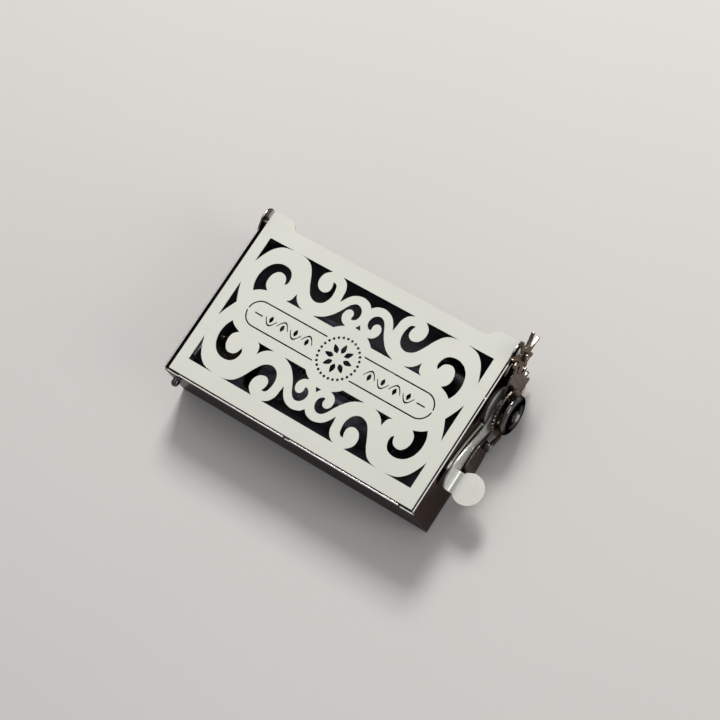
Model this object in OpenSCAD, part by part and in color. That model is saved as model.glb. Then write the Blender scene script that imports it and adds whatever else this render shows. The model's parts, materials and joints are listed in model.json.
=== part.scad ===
// Cylinder music box in a flat steel case with a pierced lid.
// Frame: X along the length, +Y to the hinge, +Z up, origin on the floor plate's underside.

/* [Case] */
// Length of the lid
lid_l = 104; // [98:1:112]
// Depth of the lid, front edge to back edge
lid_w = 64; // [62:1:70]
// Height of the lid's upper face over the table
case_h = 22; // [21.5:0.5:26]
// Wall sheet
wall_t = 0.6; // [0.5:0.05:0.8]
// Floor sheet
floor_t = 0.8; // [0.6:0.1:1]
// Lid sheet
lid_t = 0.5; // [0.4:0.05:0.7]
// Gap between the lid and the front plate
front_gap = 0.5; // [0.3:0.05:0.8]
// Gap between the lid and the right plate
right_gap = 0.5; // [0.4:0.05:0.8]
// Gap between the lid and the left plate
left_gap = 1.3; // [0.8:0.1:1.6]
// Side of a square corner post
post_w = 3; // [2.6:0.1:3.4]
// Height of a corner post
post_h = 12; // [8:1:13]

/* [Lid] */
// Length of the pierced window
win_l = 95.2; // [90:0.2:96]
// Depth of the pierced window
win_w = 52; // [48:0.5:53]
// Width of the thin pierced lines
line_w = 0.5; // [0.4:0.05:0.7]
// Length of the flat top of a back ear
ear_l = 7.6; // [6:0.2:9]
// How far a back ear stands out behind the lid
ear_out = 3.3; // [2.5:0.1:3.6]
// Radius of the bead ring in the middle
bead_ring_r = 7.7; // [7:0.1:8]
// Number of beads in the ring
beads = 28; // [16:2:30]

/* [Hinge] */
// Hinge axis in front of the lid's back edge
hinge_inset = 0.2; // [0:0.1:1]
// Hinge pin radius
hinge_pin_r = 0.7; // [0.5:0.05:0.75]
// Radius of a lid lug round the pin
lug_r = 1.3; // [1.2:0.05:1.5]
// Radius of a case ear round the pin
ear_r = 4; // [3.2:0.1:4.4]
// Running clearance of a turning pin in its hole
run = 0.05; // [0.02:0.01:0.08]

/* [Lid gearing] */
// Module of the lid gearing
lid_mod = 1.275; // [1.2:0.005:1.3]
// Fingers on the pinion
pinion_n = 8; // [8:1:8]
// Teeth that a full lever gear would have
sector_n = 24; // [22:1:25]
// Slope of the line from the lever's pivot up to the hinge
mesh_slope = 32; // [30:1:35]
// Tip radius of the four long fingers
finger_r = 9.2; // [8:0.1:9.4]
// Width of each of the four long fingers
prong_w = 0.9; // [0.7:0.1:1.4]
// Thickness of the finger pinion
finger_t = 1.2; // [1:0.1:1.4]
// Thickness of the lever and of its gear sector
lever_t = 0.7; // [0.6:0.05:0.8]

/* [Thumb lever] */
// Radius of the round thumb tab
tab_r = 5.75; // [5:0.25:6.5]
// Tab centre, along the case from the lever's face
tab_out = 7; // [6:0.1:8]
// Tab centre in front of the pivot
tab_reach = 29.7; // [28:0.1:31]
// Height of the tab's upper face
tab_z = 12.4; // [12:0.1:13]
// Width of the bent neck that carries the tab
neck_w = 8; // [6:0.2:9]
// Inner radius of the neck's bend
bend_r = 2.6; // [1:0.1:3]

/* [Winding] */
// Radius of the winding knob
knob_r = 7.4; // [6:0.1:8]
// Thickness of the winding knob
knob_t = 2.1; // [1.9:0.1:4]
// Radius of the winding arbor
arbor_r = 1.5; // [1.3:0.05:1.6]
// Wall of the lever's bush
bush_wall = 1.1; // [0.9:0.1:1.3]
// Radius of the round boss plate
boss_r = 7.8; // [6:0.1:8.4]
// Teeth on the ratchet
ratchet_n = 36; // [24:12:36]
// Tip radius of the ratchet
ratchet_r = 9; // [8.8:0.1:9.2]

/* [Movement] */
// Module of the train
train_mod = 0.5; // [0.48:0.01:0.51]
// Teeth on the great wheel
great_n = 34; // [32:1:35]
// Teeth on the idler
idler_n = 25; // [24:1:26]
// Teeth on either cylinder wheel
cyl_n = 32; // [30:1:33]
// Teeth on the governor arbor
gov_pin_n = 10; // [10:1:12]
// Teeth on the governor wheel
gov_n = 30; // [28:1:31]
// Teeth on the fly arbor
fly_pin_n = 8; // [8:1:9]
// Thickness of a wheel
wheel_t = 1.2; // [1:0.1:1.4]
// Outer radius of the cylinder
cyl_r = 6; // [5.5:0.1:6.2]
// Wall of the cylinder
cyl_wall = 0.7; // [0.5:0.1:1]
// Length of the cylinder
cyl_l = 50; // [48:0.5:51]
// How far a pin stands out of the cylinder
pin_out = 0.5; // [0.4:0.05:0.6]
// Pin radius
pin_r = 0.22; // [0.18:0.01:0.25]
// Number of comb teeth
comb_n = 28; // [20:1:29]
// Pitch of the comb teeth
comb_pitch = 1.65; // [1.5:0.05:1.7]
// Saw cut between two comb teeth
comb_slot = 0.35; // [0.3:0.01:0.45]
// Thickness of a comb tooth
tooth_t = 0.7; // [0.6:0.05:0.8]
// Thickness of the comb's heel
heel_t = 1.4; // [1.2:0.1:1.6]
// Clear distance from pin path to comb tips
pluck_gap = 0.12; // [0.1:0.01:0.2]
// Radius of the spring barrel
barrel_r = 8; // [7.5:0.1:8.4]
// Length of the spring barrel
barrel_l = 15; // [12:0.5:17]
// Wall of the spring barrel
barrel_wall = 0.5; // [0.4:0.05:0.7]
// Sweep radius of the fly
fly_r = 5; // [4:0.1:5.1]
// Thickness of a bearing plate
plate_t = 1; // [0.8:0.1:1.2]
// Radius of the thin arbors
thin_r = 0.8; // [0.7:0.05:0.9]

/* [Stop rod] */
// Radius of the stop rod
rod_r = 0.7; // [0.6:0.05:0.8]
// Radius of its domed button
button_r = 1.4; // [1.2:0.1:1.6]
// How far the button pulls out
stop_travel = 2.8; // [2.4:0.1:3]

/* [Hidden] */
$fn = 48;

steel = [0.74, 0.74, 0.76];
pale = [0.89, 0.89, 0.86];
dark = [0.16, 0.15, 0.17];
brass = [0.72, 0.58, 0.32];

// Case faces
seat = 0.05;                              // clear distance under a part that only rests
x_left = -lid_l / 2 - left_gap;           // inner face of the left plate
x_right = lid_l / 2 + right_gap;          // inner face of the right plate
x_out = x_right + wall_t;                 // outer face of the right plate
y_front = -lid_w / 2 - front_gap;         // inner face of the front plate
lid_under = case_h - lid_t;
hinge_y = lid_w / 2 - hinge_inset;
pin_skin = 0.15;                          // lug metal left between the pin and the lid
hinge_z = lid_under - hinge_pin_r - pin_skin;
y_back = hinge_y - lug_r - 0.1;           // outer face of the back plate
post_x = [x_left, x_right - post_w];
post_y = [y_front, y_back - wall_t - post_w];
screw_r = 0.8;
screw_head_r = 1.4;

// Lid gearing: the pinion turns with the lid, the sector with the lever
lid_centres = lid_mod * (pinion_n + sector_n) / 2;
pivot_y = hinge_y - lid_centres * cos(mesh_slope);
pivot_z = hinge_z - lid_centres * sin(mesh_slope);
sector_r = lid_mod * sector_n / 2;
bush_r = arbor_r + run + bush_wall;

// Stack of parts outside the right plate, from the plate outwards
boss_t = 0.8;
x_lever = x_out + boss_t + 0.4;           // inner face of the lever
x_sector = x_lever + lever_t;             // inner face of the sector
x_clip = x_sector + lever_t + 0.1;
clip_t = 0.5;
x_guide = x_sector + 0.6;                 // inner face of the guide plate
x_ratchet = x_clip + clip_t + 0.5;
ratchet_t = 0.8;
x_knob = x_ratchet + ratchet_t + 0.9;
x_pinion = x_sector + lever_t / 2 - finger_t / 2;
nut_t = 1;

// Train: great wheel, idler and cylinder on one level line through the pivot
train_z = pivot_z;
idler_y = pivot_y - train_mod * (great_n + idler_n) / 2;
cyl_y = idler_y - train_mod * (idler_n + cyl_n) / 2;
gov_y = cyl_y + train_mod * (cyl_n + gov_pin_n) / 2;
fly_centres = train_mod * (gov_n + fly_pin_n) / 2;
fly_slope = 150;
fly_y = gov_y + fly_centres * cos(fly_slope);
fly_z = train_z + fly_centres * sin(fly_slope);
x_wheels = cyl_l / 2 + 3;                 // left face of the right-hand wheels
x_bear_r = x_wheels + wheel_t + 2.3;      // right bearing plate
x_drive = -x_wheels - wheel_t - 0.2;      // left face of the governor drive wheel
x_bear_l = x_drive - 0.6 - plate_t;
x_gov = x_bear_l - 3;                     // left face of the governor wheel
gov_span = 15.5;                          // between the left bearing and the governor's own
x_gov_plate = x_bear_l - gov_span;
x_barrel_bear = x_wheels - 2.5;
cap_t = 1;
comb_l = comb_n * comb_pitch;
comb_z = train_z + 0.3;
tip_y = cyl_y + sqrt(pow(cyl_r + pin_out + pluck_gap, 2) - 0.09);
tooth_l = 11;                             // free length of the comb's teeth
heel_l = 9.5;                             // solid heel behind the teeth
comb_root_y = tip_y + tooth_l;
comb_back_y = comb_root_y + heel_l;
comb_screw_y = comb_root_y + heel_l / 2 + 0.25;
stop_x = x_left + 3.9;
stop_z = case_h - 5.5;
finger_x = x_gov_plate + 3.5;
finger_y = fly_y - sqrt(pow(fly_r + 0.1 + rod_r, 2) - pow(fly_z - stop_z, 2));

// Tooth outline: half the tooth's angle at radius r
pressure = 22;
function inv_deg(a) = tan(a) * 180 / PI - a;
function half_tooth(r, rp, n, slack) = 90 / n - slack / 2 / rp * 180 / PI + inv_deg(pressure)
    - (r <= rp * cos(pressure) ? 0 : inv_deg(acos(rp * cos(pressure) / r)));
function polar(r, a) = [r * cos(a), r * sin(a)];
function flank_radii(m, n, add, ded) = let (rp = m * n / 2, rb = rp * cos(pressure))
    [rp - ded * m, max(rb, rp - ded * m + 0.01), rp, rp + add * m / 2, rp + add * m];
function tooth(m, n, mid, slack, add, ded) =
    let (rs = flank_radii(m, n, add, ded), rp = m * n / 2)
    concat([for (r = rs) polar(r, mid - half_tooth(r, rp, n, slack))],
        [for (k = [4:-1:0]) polar(rs[k], mid + half_tooth(rs[k], rp, n, slack))]);
function tooth_points(m, n, first, count, phase, slack, add, ded) =
    [for (i = [first:first + count - 1]) each tooth(m, n, phase + i * 360 / n, slack, add, ded)];
// Phase of wheel b so that it meshes with wheel a, whose centre line to b has this slope
function mesh_phase(phase_a, n_a, n_b, slope) =
    slope + 180 + 360 / n_b * (0.5 - (phase_a - slope) * n_a / 360);
function in_mid(k, n) = k - (n - 1) / 2;

train_slack = 0.1;
module wheel_2d(n, phase)
    polygon(tooth_points(train_mod, n, 0, n, phase, train_slack, 0.8, 1.1));

great_phase = 0;
idler_phase = mesh_phase(great_phase, great_n, idler_n, 180);
cyl_phase = mesh_phase(idler_phase, idler_n, cyl_n, 180);
gov_pin_phase = mesh_phase(0, cyl_n, gov_pin_n, 0);
fly_phase = mesh_phase(0, gov_n, fly_pin_n, fly_slope);

// Places a shape drawn in the plane (Y, Z) so that it is extruded along +X
module along_x(x, y = 0, z = 0)
    translate([x, y, z]) rotate([90, 0, 90]) children();
module rod_x(r, x0, x1, y, z)
    along_x(x0, y, z) cylinder(r = r, h = x1 - x0);
module rod_y(r, y0, y1, x, z)
    translate([x, y0, z]) rotate([-90, 0, 0]) cylinder(r = r, h = y1 - y0);
module slab(x0, x1, y0, y1, z0, z1)
    translate([x0, y0, z0]) cube([x1 - x0, y1 - y0, z1 - z0]);

// ---- Case ----
module post_bores(r, z0, z1)
    for (x = post_x, y = post_y)
        translate([x + post_w / 2, y + post_w / 2, z0]) cylinder(r = r, h = z1 - z0);

module floor_plate() color(steel) difference() {
    slab(x_left - wall_t, x_out, y_front - wall_t, y_back, 0, floor_t);
    post_bores(screw_r, -1, floor_t + 1);
    post_bores(screw_head_r, -1, floor_t / 2);
    foot_bores();
}

notch_x = 0.3;
notch_w = 2.6;
corner_cut = 4.9;
module front_plate() color(steel) difference() {
    slab(x_left, x_right, y_front - wall_t, y_front, floor_t, case_h);
    slab(notch_x - notch_w / 2, notch_x + notch_w / 2, y_front - 1, y_front + 1,
        case_h - 1.2, case_h + 1);
    slab(x_left - 1, -lid_l / 2 + corner_cut, y_front - 1, y_front + 1, case_h - 1.4, case_h + 1);
    slab(lid_l / 2 - corner_cut, x_right + 1, y_front - 1, y_front + 1, case_h - 1.4, case_h + 1);
    rod_y(rod_r + run, y_front - 1, y_front + 1, stop_x, stop_z);
}

module back_plate() color(steel)
    slab(x_left, x_right, y_back - wall_t, y_back, floor_t, lid_under - 0.3);

module side_outline() {
    translate([y_front - wall_t, floor_t]) square([y_back - y_front + wall_t, case_h - floor_t - 1.5]);
    translate([y_front, floor_t]) square([y_back - y_front - 3, case_h - floor_t]);
    hull() {
        translate([hinge_y, hinge_z]) circle(r = ear_r);
        translate([y_back - 9, case_h - 12]) square([9, 9]);
    }
}
module left_plate() color(steel) difference() {
    along_x(x_left - wall_t) linear_extrude(wall_t) side_outline();
    rod_x(hinge_pin_r + run, x_left - 2, x_left + 1, hinge_y, hinge_z);
}
module right_plate() color(steel) difference() {
    along_x(x_right) linear_extrude(wall_t) side_outline();
    rod_x(hinge_pin_r + run, x_right - 1, x_out + 1, hinge_y, hinge_z);
    rod_x(bush_r, x_right - 1, x_out + 1, pivot_y, pivot_z);
}

module corner_posts() color(steel) difference() {
    for (x = post_x, y = post_y) slab(x, x + post_w, y, y + post_w, floor_t, post_h);
    post_bores(screw_r, 0, post_h - 2);
}
module case_screws() color(dark) {
    post_bores(screw_r, floor_t / 2, post_h - 2);
    post_bores(screw_head_r, 0, floor_t / 2);
}
module lid_rest() color(steel) {
    slab(-10, 10, y_front, y_front + wall_t, lid_under - 6, lid_under - seat);
    slab(-10, 10, y_front + wall_t, y_front + 3, lid_under - wall_t - seat, lid_under - seat);
}

// ---- Pivot of the lever on the right plate ----
module pivot_boss() color(steel) difference() {
    rod_x(boss_r, x_out, x_out + boss_t, pivot_y, pivot_z);
    rod_x(bush_r, x_out - 1, x_out + boss_t + 1, pivot_y, pivot_z);
}
// Bracket that stiffens the plate in front of the hinge, hollowed round the pinion's hub
bracket_t = 0.8;
hub_r = 2.4;
module bracket_outline() difference() {
    polygon(concat([[hinge_y - 9.4, hinge_z - 3.4]], smooth([[hinge_y - 9.4, hinge_z + 0.5],
        [hinge_y - 7, hinge_z + 0.9], [hinge_y - 4.4, hinge_z + 0.7], [hinge_y - 2.3, hinge_z - 0.6],
        [hinge_y - 1.3, hinge_z - 2.6], [hinge_y - 2.2, hinge_z - 3.9], [hinge_y - 4.4, hinge_z - 3.8]])));
    translate([hinge_y, hinge_z]) circle(r = hub_r + 0.4);
}
module hinge_bracket() color(steel) difference() {
    along_x(x_out) linear_extrude(bracket_t) bracket_outline();
    rod_x(screw_r, x_out - 1, x_out + 2, hinge_y - 6.6, hinge_z - 1.4);
}
module lever_bush() color(brass) difference() {
    union() {
        rod_x(bush_r, x_right, x_clip + clip_t, pivot_y, pivot_z);
        rod_x(bush_r + 1.2, x_right - 1, x_right, pivot_y, pivot_z);
    }
    rod_x(arbor_r + run, x_right - 2, x_clip + 2, pivot_y, pivot_z);
}
module bush_clip() color(steel) difference() {
    rod_x(bush_r + 1.4, x_clip, x_clip + clip_t, pivot_y, pivot_z);
    rod_x(bush_r, x_clip - 1, x_clip + 1, pivot_y, pivot_z);
}

// Guide plate beside the lever, on two posts; it carries the click
guide_far = 24;                           // from the pivot to the plate's front edge
guide_near = 11.2;                        // from the pivot to its rear edge
click_back = 12.6;                        // the click's pivot, in front of the lever's
click_drop = 4.2;                         // and below it
guide_y0 = pivot_y - guide_far;
guide_y1 = pivot_y - guide_near;
guide_low = 0.4;
guide_rise = 1;                           // front top corner over the pivot
guide_posts = [[guide_y0 + 2, 2.4], [guide_y1 - 3.7, 2.8]];
guide_post_r = 1.2;
click_y = pivot_y - click_back;
click_z = pivot_z - click_drop;
module guide_plate() color(steel) difference() {
    along_x(x_guide) linear_extrude(wall_t)
        polygon(concat([[guide_y0, pivot_z + guide_rise]],
            smooth([[guide_y0 + 1, pivot_z + guide_rise + 0.8], [pivot_y - 20, pivot_z + guide_rise + 1],
                [pivot_y - 15, pivot_z + guide_rise + 0.3], [guide_y1, pivot_z - guide_rise]]),
            smooth([[guide_y1, click_z - 1.8], [guide_y1 - 2.4, guide_low + 1.5],
                [guide_y1 - 5.8, guide_low + 0.4], [guide_y1 - 8.8, guide_low]]),
            [[guide_y0, guide_low]]));
    rod_x(screw_r, x_guide - 1, x_guide + 1, click_y, click_z);
}
module guide_posts() color(steel)
    for (p = guide_posts) rod_x(guide_post_r, x_out, x_guide, p[0], p[1]);
module click_stud() color(steel) {
    rod_x(screw_r + 0.5, x_guide + wall_t, x_ratchet - 0.1, click_y, click_z);
    rod_x(screw_r, x_guide, x_ratchet + ratchet_t + 0.1, click_y, click_z);
    rod_x(screw_r + 0.5, x_ratchet + ratchet_t + 0.1, x_ratchet + ratchet_t + 0.5, click_y, click_z);
}

// Leaf that lifts the lever: a curved strip between the right plate and the lever
leaf_t = 0.35;
leaf_x0 = x_out + 0.2;
leaf_x1 = x_lever - 0.3;
leaf_y0 = pivot_y - 28.5;
leaf_y1 = pivot_y - boss_r - 0.4;
function leaf_z(s) = pivot_z + 4.2 + 5.1 * sin(90 * (1 - s)) ;
leaf_steps = 12;
function leaf_line(up) = [for (k = [0:leaf_steps]) let (s = k / leaf_steps)
    [leaf_y0 + s * (leaf_y1 - leaf_y0), leaf_z(s) + up]];
function flip(list) = [for (k = [len(list) - 1:-1:0]) list[k]];
module leaf_spring() color(steel) {
    along_x(leaf_x0) linear_extrude(leaf_x1 - leaf_x0)
        polygon(concat(leaf_line(0), flip(leaf_line(leaf_t))));
    slab(x_out, leaf_x1, leaf_y1 - 0.4, leaf_y1 + 0.1, leaf_z(1) - 2.2, leaf_z(1) + leaf_t);
}
module leaf_rivets() color(steel)
    rod_x(0.5, leaf_x1, leaf_x1 + 0.1, leaf_y1 - 0.15, leaf_z(1) - 1.1);

// ---- Bearings of the movement ----
foot_l = 4;
foot_t = 1;
left_foot_y = gov_y + train_mod * (gov_n / 2 + 1) + 1.6;
barrel_foot_y = comb_back_y + 0.3 + 1.6;
feet = [[x_bear_r + plate_t, cyl_y - 3], [x_bear_r + plate_t, idler_y - 1],
    [x_bear_l - foot_l, cyl_y - 3], [x_bear_l - foot_l, left_foot_y],
    [x_barrel_bear - foot_l, barrel_foot_y], [x_barrel_bear - foot_l, barrel_foot_y + 3.6],
    [x_gov_plate + plate_t, gov_y - 3], [x_gov_plate + plate_t, gov_y + 2]];
module foot_bores(r = screw_r, z0 = -1, z1 = 3)
    for (f = feet) translate([f[0] + foot_l / 2, f[1], z0]) cylinder(r = r, h = z1 - z0);
module foot(x, y) slab(x, x + foot_l, y - 1.6, y + 1.6, floor_t, floor_t + foot_t);
module bearing(x, y0, y1, top) slab(x, x + plate_t, y0, y1, floor_t, top);

module right_bearing() color(dark) difference() {
    union() {
        bearing(x_bear_r, cyl_y - 4.6, idler_y + 3, train_z + 4);
        foot(x_bear_r + plate_t, cyl_y - 3);
        foot(x_bear_r + plate_t, idler_y - 1);
    }
    rod_x(thin_r + 0.2 + run, x_bear_r - 1, x_bear_r + 3, cyl_y, train_z);
    rod_x(thin_r, x_bear_r - 1, x_bear_r + 3, idler_y, train_z);
    foot_bores();
}
module left_bearing() color(dark) difference() {
    union() {
        bearing(x_bear_l, cyl_y - 4.6, gov_y + 4, fly_z + 2.4);
        bearing(x_bear_l, gov_y, left_foot_y + 1.6, train_z - 2);
        foot(x_bear_l - foot_l, cyl_y - 3);
        foot(x_bear_l - foot_l, left_foot_y);
    }
    rod_x(thin_r + 0.2 + run, x_bear_l - 1, x_bear_l + 3, cyl_y, train_z);
    rod_x(thin_r + run, x_bear_l - 1, x_bear_l + 3, gov_y, train_z);
    rod_x(thin_r + run, x_bear_l - 1, x_bear_l + 3, fly_y, fly_z);
    foot_bores();
}
module barrel_bearing() color(dark) difference() {
    union() {
        bearing(x_barrel_bear, pivot_y - 5.5, pivot_y + 5.5, train_z + 4);
        foot(x_barrel_bear - foot_l, barrel_foot_y);
        foot(x_barrel_bear - foot_l, barrel_foot_y + 3.6);
    }
    rod_x(arbor_r + run, x_barrel_bear - 1, x_barrel_bear + 3, pivot_y, train_z);
    foot_bores();
}
module governor_bearing() color(dark) difference() {
    union() {
        bearing(x_gov_plate, fly_y - 2.6, gov_y + 4, fly_z + 2.4);
        foot(x_gov_plate + plate_t, gov_y - 3);
        foot(x_gov_plate + plate_t, gov_y + 2);
    }
    rod_x(thin_r + run, x_gov_plate - 1, x_gov_plate + 3, gov_y, train_z);
    rod_x(thin_r + run, x_gov_plate - 1, x_gov_plate + 3, fly_y, fly_z);
    foot_bores();
}
module bearing_screws() color(steel) {
    foot_bores(screw_r, 0, floor_t + foot_t);
    foot_bores(screw_head_r, floor_t + foot_t, floor_t + foot_t + 0.7);
}
module idler_stud() color(steel) {
    rod_x(thin_r, x_wheels - 0.3, x_bear_r + plate_t, idler_y, train_z);
    rod_x(thin_r + 0.5, x_wheels - 0.8, x_wheels - 0.3, idler_y, train_z);
}

// ---- Comb ----
comb_screw_x = [-comb_l / 3, 0, comb_l / 3];
module comb_screw_bores(r, z0, z1)
    for (x = comb_screw_x) translate([x, comb_screw_y, z0]) cylinder(r = r, h = z1 - z0);
module comb_base() color(dark) difference() {
    slab(-comb_l / 2, comb_l / 2, comb_root_y + 0.6, comb_back_y, floor_t, comb_z);
    comb_screw_bores(screw_r, comb_z - 5, comb_z + 1);
}
module comb() color(steel) difference() {
    union() {
        slab(-comb_l / 2, comb_l / 2, tip_y, comb_back_y, comb_z, comb_z + tooth_t);
        slab(-comb_l / 2, comb_l / 2, comb_root_y + 0.6, comb_back_y, comb_z, comb_z + heel_t);
    }
    for (k = [1:comb_n - 1])
        translate([in_mid(k - 0.5, comb_n) * comb_pitch - comb_slot / 2, tip_y - 1, comb_z - 1])
            cube([comb_slot, comb_root_y - tip_y + 1 - 3 * k / comb_n, 3]);
    comb_screw_bores(screw_r, comb_z - 1, comb_z + heel_t + 1);
}
module comb_screws() color(steel) difference() {
    union() {
        comb_screw_bores(screw_r, comb_z - 5, comb_z + heel_t);
        comb_screw_bores(2, comb_z + heel_t, comb_z + heel_t + 1);
    }
    for (x = comb_screw_x)
        translate([x - 3, comb_screw_y - 0.25, comb_z + heel_t + 0.6]) cube([6, 0.5, 2]);
}

// ---- Stop rod at the front left ----
guide_rod_y = finger_y - stop_travel - 3.2;
module stop_guide() color(dark) difference() {
    slab(stop_x - 2, stop_x + 2, guide_rod_y - 0.6, guide_rod_y + 0.6, floor_t, stop_z + 1.8);
    rod_y(rod_r + run, guide_rod_y - 2, guide_rod_y + 2, stop_x, stop_z);
}
button_y = y_front - wall_t - 0.2;
module stop_rod() color(steel)
    rod_y(rod_r, button_y, finger_y + 1, stop_x, stop_z);
module stop_button() color(dark) {
    rod_y(button_r, button_y - 1.6, button_y, stop_x, stop_z);
    translate([stop_x, button_y - 1.6, stop_z]) rotate([90, 0, 0])
        rotate_extrude() intersection() {
            circle(r = button_r);
            square(button_r + 1);
        }
}
module stop_finger() color(steel) difference() {
    rod_x(rod_r - 0.1, stop_x, finger_x, finger_y, stop_z);
    rod_y(rod_r, finger_y - 2, finger_y + 2, stop_x, stop_z);
}

// ---- Lid ----
// The scrollwork is drawn for a window of this size, in the quarter right of and behind the middle
drawn_l = 95.2;
drawn_w = 52;
function fit(p) = [p[0] * win_l / drawn_l, p[1] * win_w / drawn_w];
// Smooth line through hand-picked points (Catmull-Rom), ends included
smooth_n = 4;
function at(p, k) = p[max(0, min(len(p) - 1, k))];
function blend(a, b, c, d, t) = 0.5 * (2 * b + (c - a) * t
    + (2 * a - 5 * b + 4 * c - d) * t * t + (3 * b - a - 3 * c + d) * t * t * t);
function smooth(p) = concat([for (k = [0:len(p) - 2], j = [0:smooth_n - 1])
    blend(at(p, k - 1), p[k], p[k + 1], at(p, k + 2), j / smooth_n)], [p[len(p) - 1]]);
edge_v = drawn_w / 2 - 0.1;
band_v = 8.75;

module opening(lines) polygon([for (l = lines) each [for (p = smooth(l)) fit(p)]]);
module quarter_openings() {
    // corner behind the great scroll
    opening([[[47.5, 15.8], [46.1, 19.4], [44.3, 22.5], [42.0, 24.6], [39.6, 25.5], [36.6, edge_v]],
        [[47.5, edge_v]]]);
    // between the great scroll and the hook
    opening([[[33.6, edge_v], [30.9, 25.5], [28.4, 24.2], [26.3, 21.5], [24.2, 17.5], [22.0, 14.5],
            [19.0, 13.45], [16.3, 14.7], [15.0, 17.7], [15.3, 21.1], [16.2, 22.5], [17.5, 22.7]],
        [[17.5, 22.7], [16.9, 21.2], [16.9, 19.4], [17.8, 18.2], [19.3, 17.8], [21.2, 18.5],
            [22.5, 20.5], [22.5, 22.9], [21.6, 24.5], [19.9, edge_v]]]);
    // small volute
    opening([[[3.8, 14.0], [2.5, 14.8], [1.9, 16.5], [2.4, 18.4], [3.8, 19.6], [5.6, 19.7], [7.4, 18.2],
            [9.2, 15.0], [11.2, 12.3], [13.6, 10.2], [17, band_v]],
        [[8.0, band_v], [6.6, 10.0], [4.7, 11.2]],
        [[4.7, 11.2], [6.6, 12.0], [7.8, 13.9], [7.6, 15.9], [6.4, 17.1], [4.9, 16.9], [4.2, 15.7],
            [4.3, 14.4], [3.8, 14.0]]]);
    // small triangle
    opening([[[28.8, band_v], [27.3, 9.9], [26.6, 12.7]],
        [[26.6, 12.7], [25.6, 11.1], [23.8, 9.6], [21.5, band_v]]]);
    // great crescent
    opening([[[32.6, 13.4], [31.8, 14.6], [32.0, 16.8], [33.2, 18.7], [35.2, 19.6], [37.8, 19.6],
            [40.4, 18.4], [42.3, 16.0], [43.2, 12.6], [42.9, 9.1], [41.7, 6.4]],
        [[41.7, 6.4], [39.7, 7.8], [37.0, 8.8]],
        [[37.0, 8.8], [38.7, 10.4], [39.2, 12.7], [38.6, 15.1], [37.0, 16.7], [34.9, 16.7],
            [33.4, 15.6], [32.6, 13.4]]]);
}
module middle_openings() {
    // top middle, both halves in one outline
    opening([[[-15.4, edge_v], [-13.2, 24.7], [-11.8, 22.4], [-11.5, 20.0], [-11.2, 17.6]],
        [[-11.2, 17.6], [-9.7, 20.2], [-7.7, 22.1], [-4.6, 23.0], [-1.6, 22.3], [0, 20.8]],
        [[0, 20.8], [1.6, 22.3], [4.6, 23.0], [7.7, 22.1], [9.7, 20.2], [11.2, 17.6]],
        [[11.2, 17.6], [11.5, 20.0], [11.8, 22.4], [13.2, 24.7], [15.4, edge_v]]]);
    opening([[[-1.1, 12.2]], [[0, 13.9]], [[1.1, 12.2]]]);
}
module side_opening()
    opening([[[47.6, 7.2]], [[46.4, 3.9], [45.3, 1.5], [44.5, 0]], [[45.3, -1.5], [46.4, -3.9]],
        [[47.6, -7.2]]]);

pill_l = 79;
pill_w = 10.3;
module pill(l, w) hull() for (s = [-1, 1]) translate([s * (l - w) / 2, 0]) circle(r = w / 2, $fn = 64);
module pill_line() difference() {
    pill(pill_l, pill_w);
    pill(pill_l - 2 * line_w, pill_w - 2 * line_w);
    square([pill_l + 2, 0.8], center = true);
    circle(r = bead_ring_r + 1.6);
}
// Running vine of slits with a leaf in each hollow, where a name plate would be
wave_n = 4;
wave_step = 5.3;
wave_h = 2.5;
function wave_line(up, k) = [for (j = [0:12]) let (s = j / 12)
    [(k + 0.06 + 0.88 * s) * wave_step, (k % 2 == 0 ? 1 : -1) * (wave_h * sin(180 * s) - 0.6) + up]];
module leaf(way) polygon(smooth([for (p = [[0, -1.9], [0.75, -0.5], [0, 0.9], [-0.75, -0.5], [0, -1.9]])
    [p[0], way * p[1]]]));
module waves() translate([10.7, 0]) {
    for (k = [0:wave_n - 1]) {
        polygon(concat(wave_line(line_w / 2 + 0.05, k), flip(wave_line(-line_w / 2 - 0.05, k))));
        translate([(k + 0.5) * wave_step, 0]) leaf(k % 2 == 0 ? 1 : -1);
    }
    translate([wave_n * wave_step + 0.9, -line_w / 2]) square([3.4, line_w]);
}
petal_n = 8;
module rosette() for (k = [0:petal_n - 1]) rotate(k * 360 / petal_n)
    polygon([for (p = smooth([[2.0, 0], [3.4, 0.95], [5.6, 0], [3.4, -0.95], [2.0, 0]])) p]);
module cut_lines() {
    pill_line();
    for (s = [0, 1]) mirror([s, 0]) waves();
    for (k = [0:beads - 1]) rotate((k + 0.5) * 360 / beads)
        translate([bead_ring_r, 0]) circle(r = 0.5, $fn = 16);
    rosette();
}
module lid_outline() {
    b = lid_w / 2;
    ear_x = lid_l / 2 - ear_l;
    ear = smooth([[ear_x, b + ear_out], [ear_x - 2.2, b + ear_out * 0.62], [ear_x - 3.2, b + 0.5],
        [ear_x - 4.8, b]]);
    polygon(concat([[-lid_l / 2, -b], [lid_l / 2, -b], [lid_l / 2, b + ear_out - 0.5],
        [lid_l / 2 - 0.7, b + ear_out]], ear, [for (p = flip(ear)) [-p[0], p[1]]],
        [[0.7 - lid_l / 2, b + ear_out], [-lid_l / 2, b + ear_out - 0.5]]));
}
module lid_panel() color(pale) translate([0, 0, lid_under]) linear_extrude(lid_t)
    offset(delta = 0.001) difference() {
        lid_outline();
        for (a = [0, 1], b = [0, 1]) mirror([a, 0]) mirror([0, b]) quarter_openings();
        for (b = [0, 1]) mirror([0, b]) middle_openings();
        for (a = [0, 1]) mirror([a, 0]) side_opening();
        cut_lines();
    }

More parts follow.
